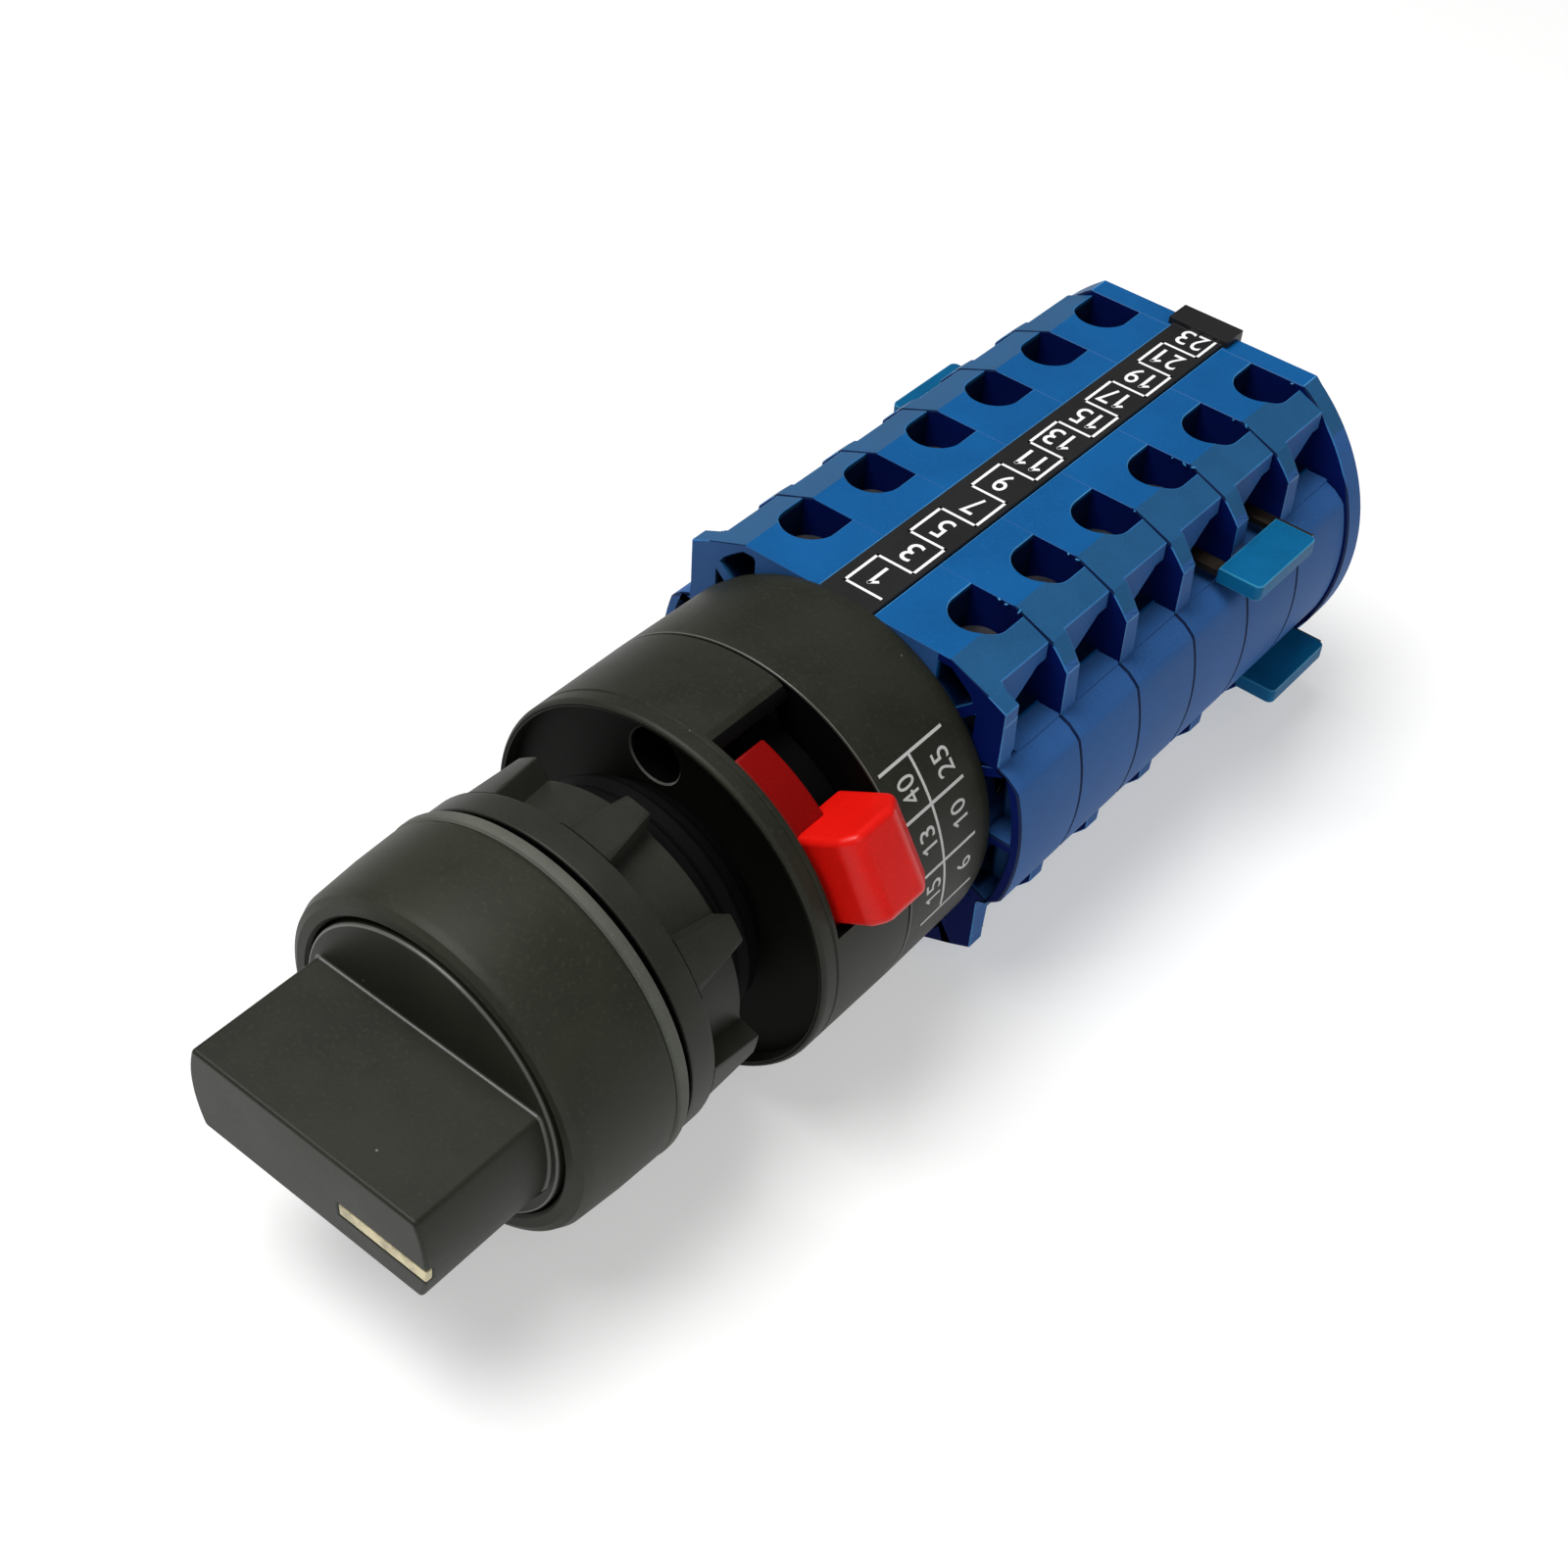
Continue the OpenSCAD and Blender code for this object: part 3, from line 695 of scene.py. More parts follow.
    def paint(self, finish: Finish, where: Callable[[Vector, Vector], bool]) -> None:
        """Give chosen faces another finish.

        Args:
            finish: finish of the faces.
            where: choice by the middle and the normal of the face.
        """
        self.bm.normal_update()
        for face in self.bm.faces:
            if where(face.calc_center_median(), face.normal):
                face.material_index = self.finishes.index(finish)

    def turn(self, verts: Iterable[bmesh.types.BMVert], degrees: float) -> None:
        """Turn vertices round the Y axis, from +X toward +Z."""
        bmesh.ops.rotate(self.bm, verts=list(verts), cent=(0, 0, 0),
                         matrix=Matrix.Rotation(math.radians(-degrees), 3, "Y"))

    def finish(self, body: Body, slot: Slot, stands_for: Sequence[str] = (), smooth: float = 32.0,
               soft: Choice = nowhere, stretch: Optional[Stretch] = None) -> None:
        """Make the object, dress it and tie it to its body; a piece given a stretch is left in place and tied to
        none.

        Args:
            body: body that the piece rides on.
            slot: material slot of the record; not used.
            stands_for: CAD nodes that the piece replaces.
            smooth: largest angle in degrees that is shaded smooth.
            soft: choice by the middle of the edge where larger angles are shaded smooth too.
            stretch: ends of a piece meant to stretch between two bodies; it is only baked in place.
        """
        for face in self.bm.faces:
            face.smooth = True
        for edge in self.bm.edges:
            limit = SOFT if soft((edge.verts[0].co + edge.verts[1].co) / 2.0) else smooth
            edge.smooth = edge.is_manifold and edge.calc_face_angle(0.0) < math.radians(limit)
        shrink = 1.0 / PER_METRE
        bmesh.ops.scale(self.bm, vec=(shrink, shrink, shrink), verts=self.bm.verts)
        mesh = bpy.data.meshes.new(self.name)
        self.bm.to_mesh(mesh)
        self.bm.free()
        made = put(self.name, mesh)
        for finish in self.finishes:
            mesh.materials.append(finish.material())
        even = made.modifiers.new("Even shading", "WEIGHTED_NORMAL")
        even.keep_sharp = True
        if stretch:
            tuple(stretch.start)
            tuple(stretch.end)
            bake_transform(made)
        else:
            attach(made, body.value)
        if stands_for:
            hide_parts(*stands_for)
        LOG.info("%s: %d faces", self.name, len(mesh.polygons))


def dress(finish: Finish, *nodes: str) -> None:
    """Give CAD nodes that keep their shape a finish.

    Args:
        finish: finish of all of them.
        nodes: names of the nodes.
    """
    for name in nodes:
        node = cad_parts[name]
        node.data.materials.clear()
        node.data.materials.append(finish.material())
        LOG.info("%s: %s", name, finish.name)


class PrintSheet:
    """Flat print on a plane, U along the reading direction and V up, in millimetres."""

    def __init__(self, name: str, ink: Finish) -> None:
        """Start an empty sheet with the name and the ink of the finished print."""
        self.piece = Workpiece(name, ink)
        self.bm = self.piece.bm

    def line(self, start: Spot, end: Spot, width: float) -> None:
        """Draw a straight line as a chain of short faces.

        Args:
            start: first end of the middle line.
            end: other end of the middle line.
            width: width of the line.
        """
        a, b = Vector((*start, 0.0)), Vector((*end, 0.0))
        middle, length = (a + b) / 2.0, (b - a).length
        angle = math.atan2(b.y - a.y, b.x - a.x)
        steps = max(1, round(length / LINE_STEP))
        grid = bmesh.ops.create_grid(self.bm, x_segments=steps, y_segments=1, size=0.5)
        bmesh.ops.scale(self.bm, vec=(length + width, width, 1.0), verts=grid["verts"])
        bmesh.ops.rotate(self.bm, verts=grid["verts"], cent=(0, 0, 0), matrix=Matrix.Rotation(angle, 3, "Z"))
        bmesh.ops.translate(self.bm, verts=grid["verts"], vec=middle)

    def number(self, value: str, centre: Spot, height: float, digit: float) -> None:
        """Set a plain number digit by digit; a one is a bar with a flag.

        Args:
            value: digits to set.
            centre: middle of the number.
            height: height of the digits.
            digit: width that each digit takes up.
        """
        for count, sign in enumerate(value):
            u, v = centre[0] + (count - (len(value) - 1) / 2.0) * digit, centre[1]
            if sign == "1":
                stem, half, stroke = u + 0.06 * height, 0.44 * height, 0.12 * height
                self.line((stem, v - half), (stem, v + half), stroke)
                self.line((stem, v + half), (u - 0.13 * height, v + half - 0.17 * height), stroke)
            else:
                self.glyph(sign, (u, v), height, 0.8 * digit)

    def glyph(self, sign: str, centre: Spot, height: float, width: float) -> None:
        """Set one digit of the plain font.

        Args:
            sign: digit to set.
            centre: middle of the digit.
            height: height of the digit.
            width: largest width of the digit.
        """
        curve = bpy.data.curves.new("digits", "FONT")
        curve.body = sign
        curve.align_x = "CENTER"
        curve.align_y = "CENTER"
        curve.size = 1.0
        curve.resolution_u = 5
        holder = put("digits", curve)
        flat = bpy.data.meshes.new_from_object(holder.evaluated_get(bpy.context.evaluated_depsgraph_get()))
        before = set(self.bm.verts)
        self.bm.from_mesh(flat)
        new = [v for v in self.bm.verts if v not in before]
        low = [min(v.co[i] for v in new) for i in (0, 1)]
        high = [max(v.co[i] for v in new) for i in (0, 1)]
        size = height / (high[1] - low[1])
        wide = min(size, width / (high[0] - low[0]))
        middle = Vector(((low[0] + high[0]) / 2.0, (low[1] + high[1]) / 2.0, 0.0))
        bmesh.ops.translate(self.bm, verts=new, vec=-middle)
        bmesh.ops.scale(self.bm, vec=(wide, size, 1.0), verts=new)
        bmesh.ops.translate(self.bm, verts=new, vec=(*centre, 0.0))
        bpy.data.objects.remove(holder)
        bpy.data.curves.remove(curve)
        bpy.data.meshes.remove(flat)

    def lay(self, place: Callable[[float, float, float], Point]) -> None:
        """Lay the sheet on a surface as a thin film.

        Args:
            place: gives the point of the surface for U, V and a height above it.
        """
        bmesh.ops.recalc_face_normals(self.bm, faces=self.bm.faces)
        for face in self.bm.faces:
            if face.normal.z < 0.0:
                face.normal_flip()
        pushed = bmesh.ops.extrude_face_region(self.bm, geom=list(self.bm.faces), use_keep_orig=True)
        for item in pushed["geom"]:
            if isinstance(item, bmesh.types.BMVert):
                item.co.z = 1.0
        for vert in self.bm.verts:
            vert.co = place(*vert.co)
        bmesh.ops.recalc_face_normals(self.bm, faces=self.bm.faces)
        self.piece.finish(Body.HOUSING, Slot.FILM)


# ---------------------------------------------------------------- selector head


@dataclass
class SelectorHead:
    """Bezel with its barrel, gasket, knob and pointer.

    The ridge gives where the thread's crest begins, where it ends and where the ridge ends, as shares of
    the pitch.
    """

    bezel_r: float = 15.2
    bezel_front: float = -10.4
    well_r: float = 12.7
    well_floor: float = -5.5
    hole_r: float = 5.05
    bore_r: float = 8.2
    bore_front: float = 3.0
    gasket_y: float = -1.2
    gasket_hole: float = 11.1
    barrel_r: float = 11.0
    thread_start: float = 0.1
    thread_end: float = 12.9
    thread_pitch: float = 1.5
    thread_depth: float = 0.5
    ridge: Point = (0.42, 0.54, 0.96)
    thread_steps: int = 40
    neck_r: float = 9.2
    neck_y: float = 13.3
    neck_end: float = 18.9
    knob_rim: Spot = (-10.8, -10.4)
    blade_y: float = -20.0
    blade_root: float = -12.0
    blade_half: float = 4.0
    steps: int = 128

    def build(self) -> None:
        """Build every piece of the head."""
        self.bezel()
        self.thread()
        self.gasket()
        self.knob()
        self.pointer()
        dress(FINISH.spindle, "spindle")
        dress(FINISH.steel, "spindle_clip")

    def bezel(self) -> None:
        """Turn the bezel ring with the barrel and the bore of the spindle."""
        piece = Workpiece("bezel_ring", FINISH.bezel, FINISH.inside)
        front, root, back = self.bezel_front, self.barrel_r - self.thread_depth, self.gasket_y - 0.12
        piece.turned([(self.hole_r, self.bore_front), (self.hole_r, self.well_floor), (self.well_r, self.well_floor),
                      (self.well_r, front + 0.25), (12.95, front), (13.75, front), (14.35, front + 0.35),
                      (14.7, front + 1.1), (15.0, -5.4), (self.bezel_r - 0.08, self.gasket_y - 0.5),
                      (self.bezel_r - 0.22, back), (root, back), (root, self.thread_end), (root - 0.4, self.neck_y),
                      (self.neck_r, self.neck_y), (self.neck_r, self.neck_end), (self.bore_r, self.neck_end),
                      (self.bore_r, self.bore_front)], self.steps)
        # Painted shade: the bore and everything behind the gasket take the near-black finish.
        piece.paint(FINISH.inside, lambda m, n: m.y > self.gasket_y)
        piece.finish(Body.HOUSING, Slot.BLACK, ["head_bezel"], smooth=24.0)

    def thread(self) -> None:
        """Wind the thread ridge of the barrel."""
        # The thread takes the painted-shade black.
        piece = Workpiece("barrel_thread", FINISH.thread)
        root, top, pitch = self.barrel_r - self.thread_depth - 0.05, self.barrel_r, self.thread_pitch
        y, (rise, crest, end) = self.thread_start, self.ridge
        turns = (self.thread_end - y - end * pitch) / pitch
        piece.swept([(root, y, 0.0), (top, y + rise * pitch, 0.0), (top, y + crest * pitch, 0.0),
                     (root, y + end * pitch, 0.0)], math.tau * turns, int(self.thread_steps * turns),
                    rise=pitch * turns)
        piece.finish(Body.HOUSING, Slot.BLACK, smooth=24.0)

    def gasket(self) -> None:
        """Turn the soft ring behind the bezel."""
        piece = Workpiece("gasket_ring", FINISH.rubber)
        outer, y = self.bezel_r, self.gasket_y
        piece.turned([(self.gasket_hole, y), (outer - 0.25, y), (outer - 0.06, y + 0.16), (outer, y + 0.4),
                      (outer, -0.4), (outer - 0.08, -0.14), (outer - 0.3, 0.0), (self.gasket_hole, 0.0)], self.steps)
        piece.finish(Body.HOUSING, Slot.RUBBER, ["bezel_gasket"])

    def knob(self) -> None:
        """Round the knob's edges and paint a light highlight bead round its rim."""
        piece = Workpiece.from_node("selector_knob", "knob", FINISH.knob, FINISH.edge)
        front, rear = self.knob_rim
        piece.soften(0.32, 3, lambda m: m.y < self.blade_y or (m.y < self.blade_root and abs(m.z) > self.blade_half))
        # Painted highlight: light bead on the rim's rounded edges.
        piece.soften(0.2, 2, lambda m: front < m.y < rear, FINISH.edge, clamp=False)
        piece.finish(Body.SELECTOR, Slot.BLACK, ["knob"])

    def pointer(self) -> None:
        """Round the cream pointer mark."""
        piece = Workpiece.from_node("pointer_mark", "pointer_inlay", FINISH.cream)
        piece.soften(0.08, 1)
        piece.finish(Body.SELECTOR, Slot.CREAM, ["pointer_inlay"])


@dataclass
class FixingNut:
    """Ring nut with eight tapered ears."""

    ring_r: float = 12.9
    ring_rear: float = 8.2
    bore_r: float = 12.4

    def build(self) -> None:
        """Round the nut's edges and its ears."""
        piece = Workpiece.from_node("ring_nut", "fixing_nut", FINISH.nut, FINISH.inside)
        piece.soften(0.2, 2, lambda m: off_axis(m) > self.ring_r or m.y > self.ring_rear, clamp=False)
        # Painted shade: the nut's bore takes the near-black finish.
        piece.paint(FINISH.inside, lambda m, n: off_axis(m) < self.bore_r)
        piece.finish(Body.HOUSING, Slot.BLACK, ["fixing_nut"])


# ---------------------------------------------------------------- lock adapter


@dataclass
class LockAdapter:
    """Adapter shell with the lever window, and the red lever.

    The window's curve is given along the wall and inward from its edge, the thumb block in radius and Y.
    """

    outer_r: float = 16.6
    inner_r: float = 16.35
    groove_y: float = 14.75
    groove: float = 0.14
    groove_half: float = 0.16
    rim_y: float = 13.6
    rim_r: float = 15.5
    plate_y: float = 15.0
    plate_r: float = 15.9
    bore_r: float = 10.2
    rear_y: float = 23.0
    hole: Spot = (-1.4, 12.2)
    hole_r: float = 2.4
    window_y: Spot = (15.2, 23.8)
    window_high: float = 76.15
    window_curve: tuple[Spot, ...] = ((2.4, 0.5), (2.4, 0.05), (1.3, -0.06), (0.7, -0.2), (0.28, -0.46),
                                      (0.0, -0.98), (-0.5, -0.98), (-0.5, 0.5))
    hub_r: float = 12.45
    arm_r: float = 15.3
    arm_y: Spot = (16.1, 19.4)
    arm_turn: Spot = (-9.0, 72.0)
    thumb: tuple[Spot, ...] = ((13.5, 15.92), (19.1, 15.92), (20.4, 16.82), (20.4, 21.05), (18.7, 23.05),
                               (13.5, 23.05))
    thumb_angle: float = 31.0
    thumb_half: float = 3.7
    thumb_round: float = 0.62

    def build(self) -> None:
        """Build the shell and the lever."""
        self.shell()
        self.lever()

    def shell(self) -> None:
        """Round the shell, and press the fine groove behind its rim."""
        piece = Workpiece.from_node("adapter_shell", "front_housing", FINISH.shell, FINISH.inside, FINISH.plate,
                                    FINISH.edge)
        for y in (self.groove_y - self.groove_half, self.groove_y, self.groove_y + self.groove_half):
            piece.slice((0, y, 0), (0, 1, 0))
        waist = [v for v in piece.bm.verts
                 if abs(v.co.y - self.groove_y) < 0.01 and off_axis(v.co) > self.outer_r - 0.1]
        shrink = 1.0 - self.groove / self.outer_r
        bmesh.ops.scale(piece.bm, vec=(shrink, 1.0, shrink), verts=waist)
        piece.combine(self.window_cutter(), "DIFFERENCE")

        def hole_rim(middle: Vector) -> bool:
            """Whether an edge lies round the plate's hole."""
            away = math.hypot(middle.x - self.hole[0], middle.z - self.hole[1])
            return middle.y < self.plate_y + 0.5 and abs(away - self.hole_r) < 0.08

        # Painted shade: near-black rounding on the rear edge, in the joint with the index ring.
        piece.soften(0.22, 1, lambda m: m.y > self.rear_y, FINISH.inside, clamp=False)
        piece.soften(0.12, 2, lambda m: m.y < self.rim_y and off_axis(m) > self.rim_r)
        # Painted shade: the front plate takes the near-black plate finish.
        piece.paint(FINISH.plate, lambda m, n: m.y < self.plate_y and off_axis(m) < self.plate_r)
        # Painted shade: the hub's walls take the near-black finish.
        piece.paint(FINISH.inside, lambda m, n: off_axis(m) < self.bore_r and abs(n.y) < 0.5)
        # Painted highlight round the plate's hole.
        piece.soften(0.14, 1, hole_rim, FINISH.edge, clamp=False)
        # Painted shade: the shell's inner faces behind the plate take the near-black finish.
        piece.paint(FINISH.inside, lambda m, n: m.y > self.plate_y and off_axis(m) < self.inner_r)
        piece.finish(Body.HOUSING, Slot.BLACK, ["front_housing"])

    def window_cutter(self) -> Workpiece:
        """Make the cutter that curves the wall into the window's upper end.

        Returns:
            The cutter.
        """
        cutter = Workpiece("window_cutter")
        front, rear = self.window_y
        new = cutter.slab([(self.outer_r + r, front, t) for t, r in self.window_curve], (0.0, rear - front, 0.0))
        cutter.turn(new, self.window_high)
        return cutter

    def lever(self) -> None:
        """Build the lever from its arm and its thumb block."""
        piece = Workpiece("lock_lever_red", FINISH.red, FINISH.red_shaded)
        (y0, y1), (low, high), half = self.arm_y, self.arm_turn, self.thumb_half
        arm = piece.swept([(self.hub_r, y0, 0), (self.arm_r, y0, 0), (self.arm_r, y1, 0), (self.hub_r, y1, 0)],
                          math.radians(high - low), 54)
        piece.turn(arm, low)
        piece.soften(0.25, 2)
        # Painted shade: the whole arm takes the darker red.
        piece.paint(FINISH.red_shaded, lambda m, n: True)
        before = set(piece.bm.edges)
        root = self.thumb[0][0] + 0.5
        piece.slab([(radius, y, -half) for radius, y in self.thumb], (0, 0, 2.0 * half))
        edges = [e for e in piece.bm.edges if e not in before and max(v.co.x for v in e.verts) > root]
        bmesh.ops.bevel(piece.bm, geom=edges, offset=self.thumb_round, offset_type="OFFSET", segments=3, profile=0.5,
                        affect="EDGES", clamp_overlap=True, material=-1)
        piece.turn({v for e in piece.bm.edges if e not in before for v in e.verts}, self.thumb_angle)
        piece.finish(Body.LEVER, Slot.RED, ["lock_lever"])


# ---------------------------------------------------------------- index housing


@dataclass
class IndexHousing:
    """Index housing with the rating ring, whose fields hold plain numbers.

    Places on the ring are degrees from +X toward +Z and millimetres behind the panel face.
    """

    front_r: float = 16.6
    rear_r: float = 16.4
    front_y: float = 23.75
    rear_y: float = 33.2
    inner_r: float = 15.4
    wall_r: float = 15.0
    rim_r: float = 16.2
    rim_y: float = 24.0
    face_y: float = 23.62
    film: float = 0.02
    line: float = 0.26
    digit: float = 1.25
    side: float = 44.5
    side_y: Spot = (24.5, 32.1)
    middle_y: float = 28.0
    middle_end: float = -5.0
    row_rear: float = 32.0
    rows: tuple[Spot, ...] = ((29.1, 24.4), (11.0, 25.6), (-6.5, 25.6))
    fields: tuple[tuple[str, float, float, float], ...] = (
        ("25", 36.3, 30.7, 1.9), ("10", 20.5, 30.6, 1.8), ("6", 3.5, 30.6, 1.8),
        ("40", 36.5, 26.4, 1.9), ("13", 20.5, 26.6, 1.8), ("15", 3.5, 26.6, 1.8))

    def build(self) -> None:
        """Build the housing and its print."""
        piece = Workpiece.from_node("index_ring", "latch_housing", FINISH.shell, FINISH.inside, FINISH.edge)
        piece.soften(0.12, 2, lambda m: off_axis(m) > self.wall_r and m.y > self.rim_y)
        # Painted highlight on the front rim's fine rounding.
        piece.soften(0.05, 1, lambda m: off_axis(m) > self.rim_r and m.y <= self.rim_y, FINISH.edge, clamp=False)
        # Painted shade: the inner wall and the front face take the near-black finish.
        piece.paint(FINISH.inside, lambda m, n: off_axis(m) < self.inner_r or (m.y < self.face_y and n.y < -0.9))
        piece.finish(Body.HOUSING, Slot.BLACK, ["latch_housing"])
        self.table()

    def on_ring(self, u: float, v: float, height: float) -> Point:
        """Point of the ring.

        Args:
            u: way round the ring in millimetres from +X toward +Z.
            v: way along -Y in millimetres from the panel face.
            height: zero under the film, one on top of it.

        Returns:
            The point in millimetres.
        """
        y = -v
        share = (y - self.front_y) / (self.rear_y - self.front_y)
        radius = self.front_r + (self.rear_r - self.front_r) * share + self.film * (2.0 * height - 1.0)
        angle = u / self.front_r
        return (radius * math.cos(angle), y, radius * math.sin(angle))

    def table(self) -> None:
        """Print the lines of the table and plain numbers in its fields."""
        sheet = PrintSheet("ring_print", FINISH.ring_ink)
        arc = self.front_r * math.pi / 180.0
        sheet.line((self.side * arc, -self.side_y[0]), (self.side * arc, -self.side_y[1]), self.line)
        sheet.line((self.side * arc, -self.middle_y), (self.middle_end * arc, -self.middle_y), self.line)
        for degrees, front in self.rows:
            sheet.line((degrees * arc, -front), (degrees * arc, -self.row_rear), self.line)
        for value, degrees, y, height in self.fields:
            sheet.number(value, (degrees * arc, -y), height, self.digit)
        sheet.lay(self.on_ring)


# ---------------------------------------------------------------- contact stack


@dataclass
class ContactStack:
    """Six blue contact stages and the end cover.

    The limits of the flats, side walls, lobes, wire openings and shoulders choose edges and faces. A wall
    that is added lies sunk by a hair under the outer faces.
    """

    stages: int = 6
    pocket_x: float = 13.6
    pocket_floor: float = 7.5
    pocket_depth: float = 7.0
    web: float = 1.75
    lip: float = 0.4
    lip_z: float = 12.1
    lip_length: float = 4.6
    foot_x: float = 15.25
    foot_z: float = 6.6
    foot_length: float = 2.4
    recess_x: float = 9.0
    flat_rim: float = 15.3
    side_rim: float = 15.2
    lobe_r: float = 16.6
    lobe_soft: Spot = (7.3, 15.5)
    wire: Spot = (13.4, 12.0)
    shoulder: float = 7.8
    sunk: float = 0.01

    def build(self) -> None:
        """Build the stages, the cover and the burrs."""
        for index in range(1, self.stages + 1):
            self.body("stage_%d" % index, "contact_stage_%d" % index, index)
        self.body("end_cover", "rear_cover", 0)
        self.burrs()

    def corners(self, outline: Sequence[Point], along: Point) -> Workpiece:
        """Make the same prism at the four corners of the stack.

        Args:
            outline: corners of its outline at +X and +Z.
            along: direction and length of the prism there.

        Returns:
            The four prisms.
        """
        made = Workpiece("corner_prisms")
        for side in (1.0, -1.0):
            for flat in (1.0, -1.0):
                made.slab([(side * x, y, flat * z) for x, y, z in outline],
                          (side * along[0], along[1], flat * along[2]))
        return made

    def blocks(self, across: Spot, low: float, high: Spot, front: float, length: float) -> Workpiece:
        """Same upright block at the four corners, by its sides' X, underside, sides' tops, front and length."""
        return self.corners([(across[0], front, low), (across[1], front, low), (across[1], front, high[1]),
                             (across[0], front, high[0])], (0.0, length, 0.0))

    def pockets(self, piece: Workpiece, index: int) -> None:
        """Open the wire pockets of a stage between its front web and its rear seam.

        Args:
            piece: stage that is cut.
            index: number of the stage from the front.
        """
        seam = FORM.front_y + index * FORM.pitch
        x, floor, front = self.pocket_x, self.pocket_floor, seam + (self.web - FORM.pitch)
        normal_x, normal_z, reach = FORM.chamfer
        slope, top = normal_x / normal_z, reach / normal_z
        piece.combine(self.corners([(x, front + 0.3, floor), (x, front, 11.9), (x, front + 0.3, 13.75),
                                    (x, front + 0.6, 16.5), (x, seam + 0.5, 16.5), (x, seam + 0.5, floor)],
                                   (self.pocket_depth, 0.0, 0.0)), "DIFFERENCE")
        inner = x - self.lip
        piece.combine(self.blocks((inner, x), self.lip_z, (top - slope * inner, top - slope * x),
                                  seam - self.lip_length, self.lip_length), "UNION")
        if index == 1:
            self.front_webs(piece, top - self.sunk, slope)

    def front_webs(self, piece: Workpiece, top: float, slope: float) -> None:
        """Close the first stage's pockets in front with webs that stand on a foot.

        Args:
            piece: first stage.
            top: Z of the webs' upper edge, drawn out to the middle of the stack.
            slope: fall of that edge along X.
        """
        inner, outer, floor = self.pocket_x - 0.6, FORM.side_x - self.sunk, self.pocket_floor
        piece.combine(self.blocks((inner, outer), floor - 0.2, (top - slope * inner, top - slope * outer),
                                  FORM.front_y, self.web), "UNION")
        piece.combine(self.blocks((inner, self.foot_x), self.foot_z, (floor - self.sunk, floor - self.sunk),
                                  FORM.front_y + 0.4, self.foot_length), "UNION")
        piece.slice((self.recess_x, 0, 0), (1, 0, 0))

    def outside(self, middle: Vector) -> bool:
        """Whether an edge lies on the flats, the lobes or the side walls."""
        return (abs(middle.z) > self.flat_rim or off_axis(middle) > self.lobe_r
                or abs(middle.x) > self.side_rim)

    def tone(self, middle: Vector, normal: Vector, front: float, first: bool) -> Finish:
        """Finish of an untouched face: the plain blue or one of its painted lit and shaded copies.

        Args:
            middle: middle of the face.
            normal: its normal.
            front: Y of the stage's front.
            first: whether it is the first stage.

        Returns:
            The finish.
        """
        if normal.y < -0.9 and middle.y < front + 0.01:
            return FINISH.blue_low_shading if first and middle.x < self.recess_x else FINISH.blue_front_shaded
        if abs(middle.x) > self.wire[0] and (abs(middle.z) < self.wire[1] or abs(normal.x) > 0.9):
            return FINISH.blue_low_shading
        if abs(normal.x) > 0.2 and abs(middle.x) > self.recess_x:
            return FINISH.blue_side_shaded
        return FINISH.blue

    def body(self, node: str, name: str, index: int) -> None:
        """Open a stage's pockets and round its outer edges, with painted shade in the seams and painted highlights
        on the edges off them.

        Args:
            node: CAD node of the stage.
            name: name of the finished object.
            index: number of the stage from the front, or zero for the cover.
        """
        piece = Workpiece.from_node(name, node, FINISH.blue, FINISH.blue_edge_highlight, FINISH.seam, FINISH.blue_front_shaded,
                                    FINISH.blue_side_shaded, FINISH.blue_low_shading, FINISH.blue_rim_flash_and_highlight)
        if index:
            self.pockets(piece, index)
        low = min(v.co.y for v in piece.bm.verts)
        high = max(v.co.y for v in piece.bm.verts)
        flat_rim = self.flat_rim

        def seam(middle: Vector) -> bool:
            """Whether an edge lies in an end face."""
            return middle.y < low + 0.02 or middle.y > high - 0.02

        def rim(middle: Vector) -> bool:
            """Whether an edge lies in the front face beside a pocket."""
            return (middle.y < low + 0.02 and abs(middle.x) > self.pocket_x - 0.1
                    and abs(middle.z) > self.pocket_floor + 0.1)

        def between(middle: Vector) -> bool:
            """Whether an edge lies well between the end faces."""
            return low + 0.2 < middle.y < high - 0.2

        piece.soften(0.05, 1, lambda m: abs(m.z) > flat_rim and seam(m), clamp=False)
        # Painted shade in the seam grooves off the flats.
        piece.soften(0.17, 1, lambda m: self.outside(m) and abs(m.z) <= flat_rim and seam(m) and not rim(m),
                     FINISH.seam, clamp=False)
        # Painted highlight on the front rim beside each pocket.
        piece.soften(0.09, 1, lambda m: self.outside(m) and rim(m), FINISH.blue_edge_highlight, clamp=False)
        # Painted highlight on the outer edges between the shoulders and the flats.
        piece.soften(0.1, 2, lambda m: self.outside(m) and between(m) and self.shoulder < abs(m.z) < flat_rim,
                     FINISH.blue_edge_highlight, clamp=False)
        # Rims of the wells: partly moulding flash, partly painted highlight.
        piece.soften(0.09, 1, lambda m: abs(m.z) > flat_rim and between(m), FINISH.blue_rim_flash_and_highlight, clamp=False)
        if index:
            piece.tuck(lambda p: abs(p.x) > FORM.side_x + self.sunk and abs(p.z) > self.shoulder + 0.1
                       and p.y > low + 0.1)
        # Painted shading: each untouched face takes the copy of the blue for how it is lit.
        for face in piece.bm.faces:
            if face.material_index == 0:
                finish = self.tone(face.calc_center_median(), face.normal, low, index == 1)
                face.material_index = piece.finishes.index(finish)
        piece.finish(Body.HOUSING, Slot.BLUE, [node], smooth=14.0,
                     soft=lambda m: abs(m.z) < self.lobe_soft[0] and off_axis(m) > self.lobe_soft[1])

